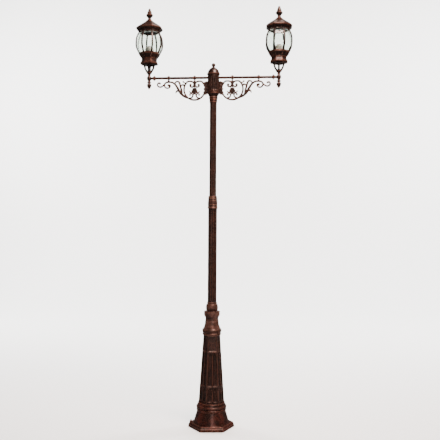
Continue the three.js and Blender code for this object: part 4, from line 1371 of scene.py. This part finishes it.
    def palmette(self) -> list[Skin]:
        """The crowned bud on the ring's post, with its leaves and their balls.

        Returns:
            Its skins.
        """
        bud = [(-12.5, 5), (-10, 12.5), (-5.4, 9), (0, 13), (5.4, 9), (10, 12.5), (12.5, 5),
               (14.6, -3), (19.2, -14), (12.4, -21), (6, -31), (0, -36), (-6, -31),
               (-12.4, -21), (-19.2, -14), (-14.6, -3)]
        vein = [(0, 8), (0, -26)]
        leaf = [(11, -18), (20, -23.5), (28, -21), (34.5, -15)]
        stem = [(-13.5, -46), (-8, -34), (0, -26), (8, -34), (13.5, -46)]
        return [
            self.slab([(x * 1.18, z) for x, z in bud], self.depth),
            self.strand(vein, 5, 8, 3, steps=6),
            self.strand([(0, 60), (0, 36), (0, 14)], 10, 9, 13),
            self.strand(leaf, 8, 7, 4.6), self.strand(flipped(leaf), 8, 7, 4.6),
            self.boss(34, -15.5, 5), self.boss(-34, -15.5, 4.4),
            self.strand(stem, 6.4, 6.8, 6.4),
        ]

    def ring(self) -> list[Skin]:
        """The open ring with the humps and curls that its strand turns into.

        Returns:
            Its skins.
        """
        angles = np.radians(np.linspace(48, -228, 26))
        arc = [(self.ring_radius * math.cos(a), self.ring_radius * math.sin(a)) for a in angles]
        skins = [self.strand(arc, 7.8, 7.8, 8.4, 7.8, 7.8, steps=4)]
        for bend in (list, flipped):
            skins += [self.strand(bend(HUMP), 7.8, 8, 7.4, 5.6),
                      self.strand(bend(CURL), 7.5, 7, 5.6, 4.6)]
        for sign in (1, -1):
            skins += [self.boss(sign * 28.6, 31, 8.6), self.boss(sign * 31.5, -38, 6.6)]
        return skins

    def spray(self) -> list[Skin]:
        """The branch that runs out along the bar, with its leaves and curls.

        Returns:
            Its skins.
        """
        return [
            self.strand(MAIN, 5, 10, 12, 10.5, 8.6, 8),
            self.strand(END_CURL, 8, 7.6, 7, 5.6),
            self.strand(TAIL, 7, 7.6, 7, 5.4),
            self.strand(LEAF, 6, 8.6, 9, 7.4, 6),
            self.boss(181.5, 30, 9), self.boss(243, 43.5, 7.6),
            self.strand([(181, 62), (181, 48)], 11, 10, steps=4),
            self.strand([(66, 21), (78, 31.5), (90, 30), (98, 20)], 7, 9, 7, 4),
            self.strand([(54, 46), (66, 44.5), (77, 52)], 6.5, 6.5, 5),
            self.boss(79, 53.5, 6),
            self.strand([(98, -17), (113, -8), (125, -13), (132.5, -27)], 9, 11, 8, 3),
            self.strand([(92, 10), (88, -6), (84, -30)], 5, 5, 5),
        ]

    def ear(self) -> list[Skin]:
        """The lobed plate between the ring and the hub, with its veins.

        Returns:
            Its skins.
        """
        face = (self.hub_face - self.ring_x) * 1000
        low, _ = heights("hub_body")
        foot = (low - self.ring_z) * 1000
        outline = [(face, 54), (-80, 56), (-58, 44), *EAR, (-79, foot - 13), (face, foot - 14)]
        return [
            self.slab(outline, self.depth * 0.7),
            self.strand([(-86, 47), (-74, 45), (-60, 43)], 6, 7, 7),
            self.strand([(-87, 30), (-76, 26), (-67, 20)], 7, 7, 6),
            self.strand([(-87, 8), (-77, 6), (-67, 3)], 7, 7, 6),
            self.strand([(-86, -16), (-75, -14), (-66, -18)], 7, 7, 6),
            self.strand([(-85, -34), (-74, -33), (-62, -36)], 7, 8, 8),
        ]

    def bracket(self) -> None:
        """The whole bracket, fused into one casting under the bar."""
        _, top = heights(self.node("scroll_bracket"))
        clip_low, _ = heights(self.node("clip_inner"))
        verts, faces = joined([*self.ring(), *self.palmette(), *self.spray(), *self.ear()])
        verts = verts + np.array([self.ring_x, 0, self.ring_z])
        verts[:, 2] = np.minimum(verts[:, 2], min(top, clip_low - 0.0002))
        self.dress("scroll_bracket", (verts, faces), fuse=0.0011)

    def end_hub(self) -> None:
        """The rounded block at the bar's end."""
        x = middle(self.node("end_hub")).x * self.side.value
        low, _ = heights(self.node("end_hub"))
        outline = from_foot(low, [
            (5.4, 0), (9.6, 0), (10.6, 1), (10.4, 3), *bead(11.4, 4, 28, 4.8, 18), (10.8, 29),
            (10.6, 31), (9.6, 32), (5.4, 32)])
        self.dress("end_hub", moved(turned(eased(outline, 0.0005, 0.002), 64, caps=False), x))

    def drop(self) -> None:
        """The acorn under the end hub."""
        x = middle(self.node("acorn_drop")).x * self.side.value
        _, top = heights(self.node("acorn_drop"))
        outline = from_foot(top, [
            (0.1, -60), (2.6, -59.4), (6.6, -54), (11, -47), (14.4, -40), (16, -34), (16.2, -28.6),
            (15, -25.6), (12.4, -23.6), (9, -21.6), (8, -19.6), *bead(8, -18, -6, 6.6, 12),
            (8, -4.4), (9.6, -1.4), (10, 0), (0.1, 0)])
        self.dress("acorn_drop", moved(turned(eased(outline, 0.0008, 0.002), 64), x))

    def nipple(self) -> None:
        """The threaded pipe inside the end hub."""
        x = middle(self.node("lamp_nipple")).x * self.side.value
        low, high = heights(self.node("lamp_nipple"))
        turns = thread(low, high, 0.0006, 0.005, 0.0004)
        outline = np.array([*turns, (0.0046, high), (0.0033, high), (0.0033, low), turns[0]])
        self.dress("lamp_nipple", moved(turned(outline, 32, caps=False), x), ZINC, "zinc_steel")


# ---- Lanterns --------------------------------------------------------------------------------


@dataclass
class Lantern:
    """An octagonal lantern, from the stem of its gallery up to its finial."""

    side: Side
    sides: int = 8
    first: float = math.pi / 8
    legs: int = 4
    cup_rim: float = 0.075
    belly: float = 0.0974
    neck: float = 0.0726
    rib_deep: float = 0.007
    rib_wide: float = 0.0112

    def node(self, name: str) -> str:
        """This side's CAD node of a name."""
        return f"{name}_{self.side.suffix}"

    @property
    def body(self) -> str:
        """The CAD body of the lantern's fixed pieces."""
        return f"lantern_{self.side.suffix}"

    @property
    def axis(self) -> float:
        """Where the lantern's axis stands along X."""
        return middle(self.node("gallery")).x

    def dress(self, name: str, skin: Skin, finish: Finish = COPPER,
              slot: str = "cast_aluminium", body: str = "") -> None:
        """Carries a piece to the lantern's axis and dresses it."""
        obj = made(self.node(name), moved(skin, x=self.axis), finish)
        fitted(obj, body or self.body, slot, self.node(name))

    def octagon(self, points: Iterable[Point2], ease: float, step: float = 0.006) -> Skin:
        """An eight-sided skin from an outline of corner radii and heights."""
        return prism(eased(list(points), ease, step), self.sides, self.first, False, 150)

    def build(self) -> None:
        """Makes the lantern from its gallery to its finial."""
        self.gallery()
        self.cup()
        self.cage()
        self.glass()
        self.holder()
        self.bulb()
        self.bridge()
        self.roof()
        self.finial()

    def screw(self, angle: float, reach: float, z: float, radius: float) -> Skin:
        """A domed screw head that stands out from the lantern.

        Args:
            angle: The direction it faces.
            reach: How far out its seat is.
            z: Its height.
            radius: The head's radius.

        Returns:
            The vertices and the faces.
        """
        head = turned(eased([(radius, -0.002), (radius, 0.0004), (radius * 0.8, 0.0014),
                             (radius * 0.35, 0.0019), (0.0001, 0.002)], 0.0003, 0.001), 24)
        return moved(head, reach * math.cos(angle), reach * math.sin(angle), z, angle,
                     math.pi / 2)

    def gallery(self) -> None:
        """The stem, the tulip of four legs and the moulded flange."""
        foot, _ = heights(self.node("gallery"))
        stem = from_foot(foot, [
            (5.9, 0.1), (9.4, 0.1), (9.8, 1.4), (8.4, 3.4), *bead(8.4, 4.2, 10, 2.4, 8),
            (9.6, 11), (13, 15), (16.6, 18.6), (18.4, 20.6), *bead(18.4, 21.2, 27.4, 2, 8),
            (17, 30), (13, 35), (7, 38.6), (0.1, 40)])
        flange = from_foot(foot, [
            (26, 75.4), (42, 74.4), (45, 75.2), (52.6, 78.4), (60.6, 80.6), (63.4, 82.2),
            (64.2, 84), (64.2, 87), (62.6, 88.2), (61.6, 91.8), (40, 91.9)])
        path = [(8, 23), (14.5, 30), (20.6, 38), (26.4, 49), (30.6, 61), (32.4, 72), (32.6, 78)]
        skins = [turned(eased(stem, 0.0007, 0.002), 64),
                 self.octagon(flange, 0.0007)]
        for leg in range(self.legs):
            turn = leg * 2 * math.pi / self.legs
            line = plane_line(smooth_line(from_foot(foot, path), 7))
            skins.append(moved(swept(line, [0.0145, 0.013, 0.0125, 0.0135],
                                     [0.015, 0.0135, 0.013, 0.014], square=3), turn=turn))
        skins.append(self.screw(math.radians(-102), 0.0592, foot + 0.0855, 0.0024))
        self.dress("gallery", joined(skins))

    def cup(self) -> None:
        """The cup: a sloping neck, a flared body and a banded rim, hollow inside."""
        foot, _ = heights(self.node("cup"))
        outline = from_foot(foot, [
            (30, 0.2), (60.6, 0.2), (60.4, 1.6), (57, 8), (54.6, 15.6), (53.8, 22.6),
            (55.6, 24.4), (56, 27), (55, 28.6), (58, 31.6), (64.6, 39), (70.6, 47.6),
            (73, 51.8), (75.2, 53), (75.6, 55), (75.2, 58.6), (74.4, 60), (71.4, 60),
            (69, 52), (62, 40.5), (52, 30), (49.4, 25), (49.4, 6.3), (26, 6.1)])
        skins = [self.octagon(outline, 0.0008, 0.005)]
        skins.append(self.screw(math.radians(-71), 0.0628, foot + 0.0385, 0.003))
        self.dress("cup", joined(skins))

    def rib_line(self) -> np.ndarray:
        """A rib's outer edge.

        Returns:
            Its rows of (radius, height above the cage's foot).
        """
        low, high = heights(self.node("rib_cage"))
        tall = high - low
        points = [(self.cup_rim, 0), (self.belly - 0.003, tall * 0.27), (self.belly, tall * 0.5),
                  (self.belly - 0.006, tall * 0.76), (self.neck, tall)]
        return smooth_line(points, 8)

    def cage(self) -> None:
        """Eight curved ribs between the two rings."""
        low, high = heights(self.node("rib_cage"))
        edge = self.rib_line()
        half = self.rib_deep / 2
        skins = []
        for rib in range(self.sides):
            line = plane_line(edge + np.array([-half, low]))
            bar = swept(line, [self.rib_deep + 0.001], [self.rib_wide], square=4.5, count=24)
            skins.append(moved(bar, turn=self.first + rib * 2 * math.pi / self.sides))
        for radius, foot in ((self.cup_rim, low), (self.neck, high - 0.006)):
            ring = [(radius - 0.0112, foot + 0.0002), (radius - 0.0006, foot + 0.0002),
                    (radius, foot + 0.0016), (radius, foot + 0.0044),
                    (radius - 0.0006, foot + 0.0058), (radius - 0.0112, foot + 0.0058),
                    (radius - 0.0112, foot + 0.0002)]
            skins.append(self.octagon(ring, 0.0006, 0.004))
        self.dress("rib_cage", joined(skins))

    def glass(self) -> None:
        """The moulded glass, a closed skin three millimetres thick at its corners."""
        low, high = heights(self.node("glass"))
        cage_low, _ = heights(self.node("rib_cage"))
        edge = self.rib_line()
        inset = self.rib_deep + 0.0006
        spots = spread(low, high, 0.005)
        outer = np.interp(spots - cage_low, edge[:, 1], edge[:, 0]) - inset
        outside = list(zip(outer, spots))
        inside = [(r - 0.003, z) for r, z in reversed(outside)]
        outline = np.array([*outside, *inside, outside[0]])
        self.dress("glass", prism(outline, self.sides, self.first, False, 70), GLASS,
                   "lantern_glass")

    def holder(self) -> None:
        """The porcelain lampholder, ribbed for the hand and threaded inside."""
        low, _ = heights(self.node("lampholder"))
        foot = [(0.1, 0.1), (24, 0.1), (24, 3.4), (22, 5), (21, 8), (20.6, 12),
                (20.2, 16), (19.6, 22), (19.2, 30), (18.6, 35), (17.6, 36), (15.2, 36)]
        wave = [(14.2 + 0.5 * math.sin(z * 1.8), z) for z in np.arange(35, 7, -0.6)]
        outline = from_foot(low, [*foot, *wave, (14, 6), (0.1, 6)])
        self.dress("lampholder", turned(eased(outline, 0.0004, 0.003), 64), PORCELAIN,
                   "holder_porcelain")

    def bulb(self) -> None:
        """The pear bulb, and its screw cap in its own finish."""
        low, _ = heights(self.node("bulb"))
        body = f"bulb_body_{self.side.suffix}"
        angles = np.linspace(0, math.pi / 2, 14)
        crown = [(30 * math.cos(a), 76 + 29.8 * math.sin(a)) for a in angles]
        pear = from_foot(low, [(0.1, 30), (13.2, 30.8), (14.2, 33.6), (15.8, 38), (19, 47),
                               (23.6, 57), (27.8, 66), (29.6, 72), *crown[:-1], (0.1, 105.8)])
        self.dress("bulb", turned(eased(pear, 0.0012, 0.003), 72), OPAL, "bulb_opal", body)
        wave = [(12.6 + 0.45 * math.sin(z * 1.8), z) for z in np.arange(4.5, 28, 0.6)]
        screw = from_foot(low, [(0.1, 0), (4.6, 0), (5.4, 0.8), (6, 2), (11.6, 4), *wave,
                                (13, 28.6), (13.2, 30.8), (0.1, 30.8)])
        cap_name = self.node("bulb_cap")
        obj = made(cap_name, moved(turned(np.array(screw), 64), x=self.axis), ZINC)
        fitted(obj, body, "zinc_steel")

    def bridge(self) -> None:
        """The strap across the cage's top ring, with its threaded stud."""
        low, high = heights(self.node("roof_bridge"))
        corner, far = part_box(self.node("roof_bridge"))
        half = (far.x - corner.x) / 2
        width = far.y - corner.y
        strap = plane_line([(x, low + 0.0015) for x in np.linspace(-half, half, 24)])
        stud = np.array([(0.0001, low + 0.001), (0.004, low + 0.001), (0.004, low + 0.069),
                         *thread(low + 0.07, high - 0.001, 0.0008, 0.004, 0.00035),
                         (0.0032, high), (0.0001, high)])
        nut = prism(eased([(0.0001, low + 0.003), (0.0074, low + 0.003), (0.0076, low + 0.0082),
                           (0.0064, low + 0.0092), (0.0001, low + 0.0092)], 0.0003, 0.003),
                    6, 0.2, True, 180)
        skin = joined([swept(strap, [0.003], [width], square=6), turned(stud, 32), nut])
        self.dress("roof_bridge", skin, ZINC, "zinc_steel")

    def roof(self) -> None:
        """The roof: soffit, eave, ogee slope and the cone that the finial stands on."""
        foot, _ = heights(self.node("roof"))
        outside = [(75, 0.2), (79, 2.4), (91, 12.6), (94.4, 15.2), (95.6, 17), (95.6, 22),
                   (94.8, 23.8), (83, 34), (72, 42), (60, 50), (50, 56.4), (41, 62.4),
                   (33, 67.6), (28, 71), (26.4, 73)]
        cone = [(26, 70), (26.2, 73), (24.4, 75.4), (19.6, 79), (15, 83), (12.6, 87),
                (11.8, 90.9), (4.8, 90.9), (4.8, 75)]
        inside = [(4.8, 72), (16, 66), (41, 53.4), (75, 30), (86, 21), (88, 18.6), (68, 5),
                  (68, 0.2), (75, 0.2)]
        shell = self.octagon(from_foot(foot, [*outside, *inside]), 0.0009, 0.006)
        top = turned(eased(from_foot(foot, cone), 0.0008, 0.002), 64, caps=False)
        self.dress("roof", joined([shell, top]), body=f"roof_body_{self.side.suffix}")

    def finial(self) -> None:
        """The ball between its rings, and the spear above it."""
        foot, top = heights(self.node("roof_finial"))
        outline = from_foot(foot, [
            (0.1, 0.1), (11, 0.1), (11.6, 1), (10.4, 3), (11.4, 6), (15.4, 11), (20.4, 17),
            (24, 22), (24.4, 25), (22.8, 28.6), (19, 32.6), (16, 35.6), (15.2, 37.4),
            (16.4, 39.6), (16, 42), (14, 47), (11.8, 53), (9.6, 59), (8.2, 63), (8, 65.4),
            (6, 69), (3, 71.6), (0.1, (top - foot) * 1000)])
        self.dress("roof_finial", turned(eased(outline, 0.0006, 0.002), 72),
                   body=f"finial_body_{self.side.suffix}")


# ---- Studio ----------------------------------------------------------------------------------


@dataclass
class Studio:
    """A white studio: seamless paper, soft light from above and the front, and the camera."""

    azimuth: float = math.radians(4.7)
    distance: float = 4.5
    eye: float = 1.4
    lens: float = 53.2
    roll: float = math.radians(-0.37)
    shift: tuple[float, float] = (0.017, 0.009)

    def build(self) -> None:
        """Makes the paper, the lights and the camera."""
        self.paper()
        self.lights()
        self.world()
        self.camera()

    def paper(self) -> None:
        """A floor that sweeps up behind the post."""
        front, depth, high, bend, half = -8.0, 7.0, 7.0, 1.5, 9.0
        curve = [(front, 0.0), (depth - bend, 0.0)]
        curve += [(depth - bend + bend * math.sin(a), bend - bend * math.cos(a))
                  for a in np.linspace(0.05, math.pi / 2, 18)]
        curve.append((depth, high))
        ends = [np.array([(x, y, z - 0.0005) for y, z in curve]) for x in (-half, half)]
        rings = np.stack(ends, axis=1)
        verts, faces = grid(rings, closed=False, caps=False)
        floor = made("seamless paper", (verts, faces), PAPER)
        floor.visible_glossy = False

    def softbox(self, name: str, place: tuple[float, float, float],
                aim: tuple[float, float, float], size: tuple[float, float], power: float,
                colour: str = "#ffffff", shines: bool = True) -> None:
        """A rectangular soft light.

        Args:
            name: The light's name.
            place: Where it hangs.
            aim: The point it faces.
            size: Its width and height.
            power: Its power in watts.
            colour: Its colour.
            shines: Whether it shows in reflections.
        """
        light = bpy.data.lights.new(name, "AREA")
        light.shape, light.size, light.size_y = "RECTANGLE", *size
        light.energy, light.color = power, linear(colour)[:3]
        lamp = bpy.data.objects.new(name, light)
        lamp.location = place
        way = Vector(aim) - Vector(place)
        lamp.rotation_euler = way.to_track_quat("-Z", "Y").to_euler()
        lamp.visible_glossy = shines
        bpy.context.scene.collection.objects.link(lamp)

    def lights(self) -> None:
        """A large light above and in front, a faint one above and behind, a strip, and washes.

        The washes light the paper only. They stay out of reflections, and so does the paper,
        which keeps the rims of the metal dark.
        """
        self.softbox("overhead", (1.2, -1.7, 4.7), (0, 0, 1.7), (1.8, 1.8), 430, "#ffe4d6")
        self.softbox("top", (0.2, 1.5, 5.2), (0, 0.2, 2), (1.6, 0.5), 22, "#ffe6d8")
        self.softbox("strip", (0.9, -4.6, 1.9), (0, 0, 1.4), (0.4, 2.8), 40, "#fff0e8")
        for name, x in (("left wash", -5.2), ("right wash", 5.2)):
            self.softbox(name, (x, 3.2, 4.2), (0, 7, 2.4), (2, 3), 850, shines=False)
        self.softbox("floor wash", (0, 3.0, 6.4), (0, 3.4, 0), (5, 4), 620, shines=False)

    def world(self) -> None:
        """An even, dim white surround."""
        world = bpy.data.worlds.new("studio")
        world.use_nodes = True
        world.node_tree.nodes.clear()
        air = add_node(world.node_tree, "ShaderNodeBackground", inputs={
            "Color": linear("#ffffff"), "Strength": 0.12})
        add_node(world.node_tree, "ShaderNodeOutputWorld", inputs={"Surface": air})
        bpy.context.scene.world = world

    def camera(self) -> None:
        """The camera, at about chest height, a little to the right and rolled by a hair."""
        data = bpy.data.cameras.new("camera")
        data.lens, data.sensor_width = self.lens, 36
        data.shift_x, data.shift_y = self.shift
        camera = bpy.data.objects.new("camera", data)
        a = self.azimuth
        camera.location = (self.distance * math.sin(a), -self.distance * math.cos(a), self.eye)
        camera.rotation_euler = (math.pi / 2, self.roll, a)
        bpy.context.scene.collection.objects.link(camera)
        bpy.context.scene.camera = camera


def main() -> None:
    """Builds the lamp post and its studio, in order."""
    logging.basicConfig(level=logging.INFO, format="%(message)s")
    for part in (PostBase(), Column(), Tubes(), Hub()):
        part.build()
    for side in Side:
        Arm(side).build()
        Lantern(side).build()
    Studio().build()


if __name__ == "__main__":
    main()
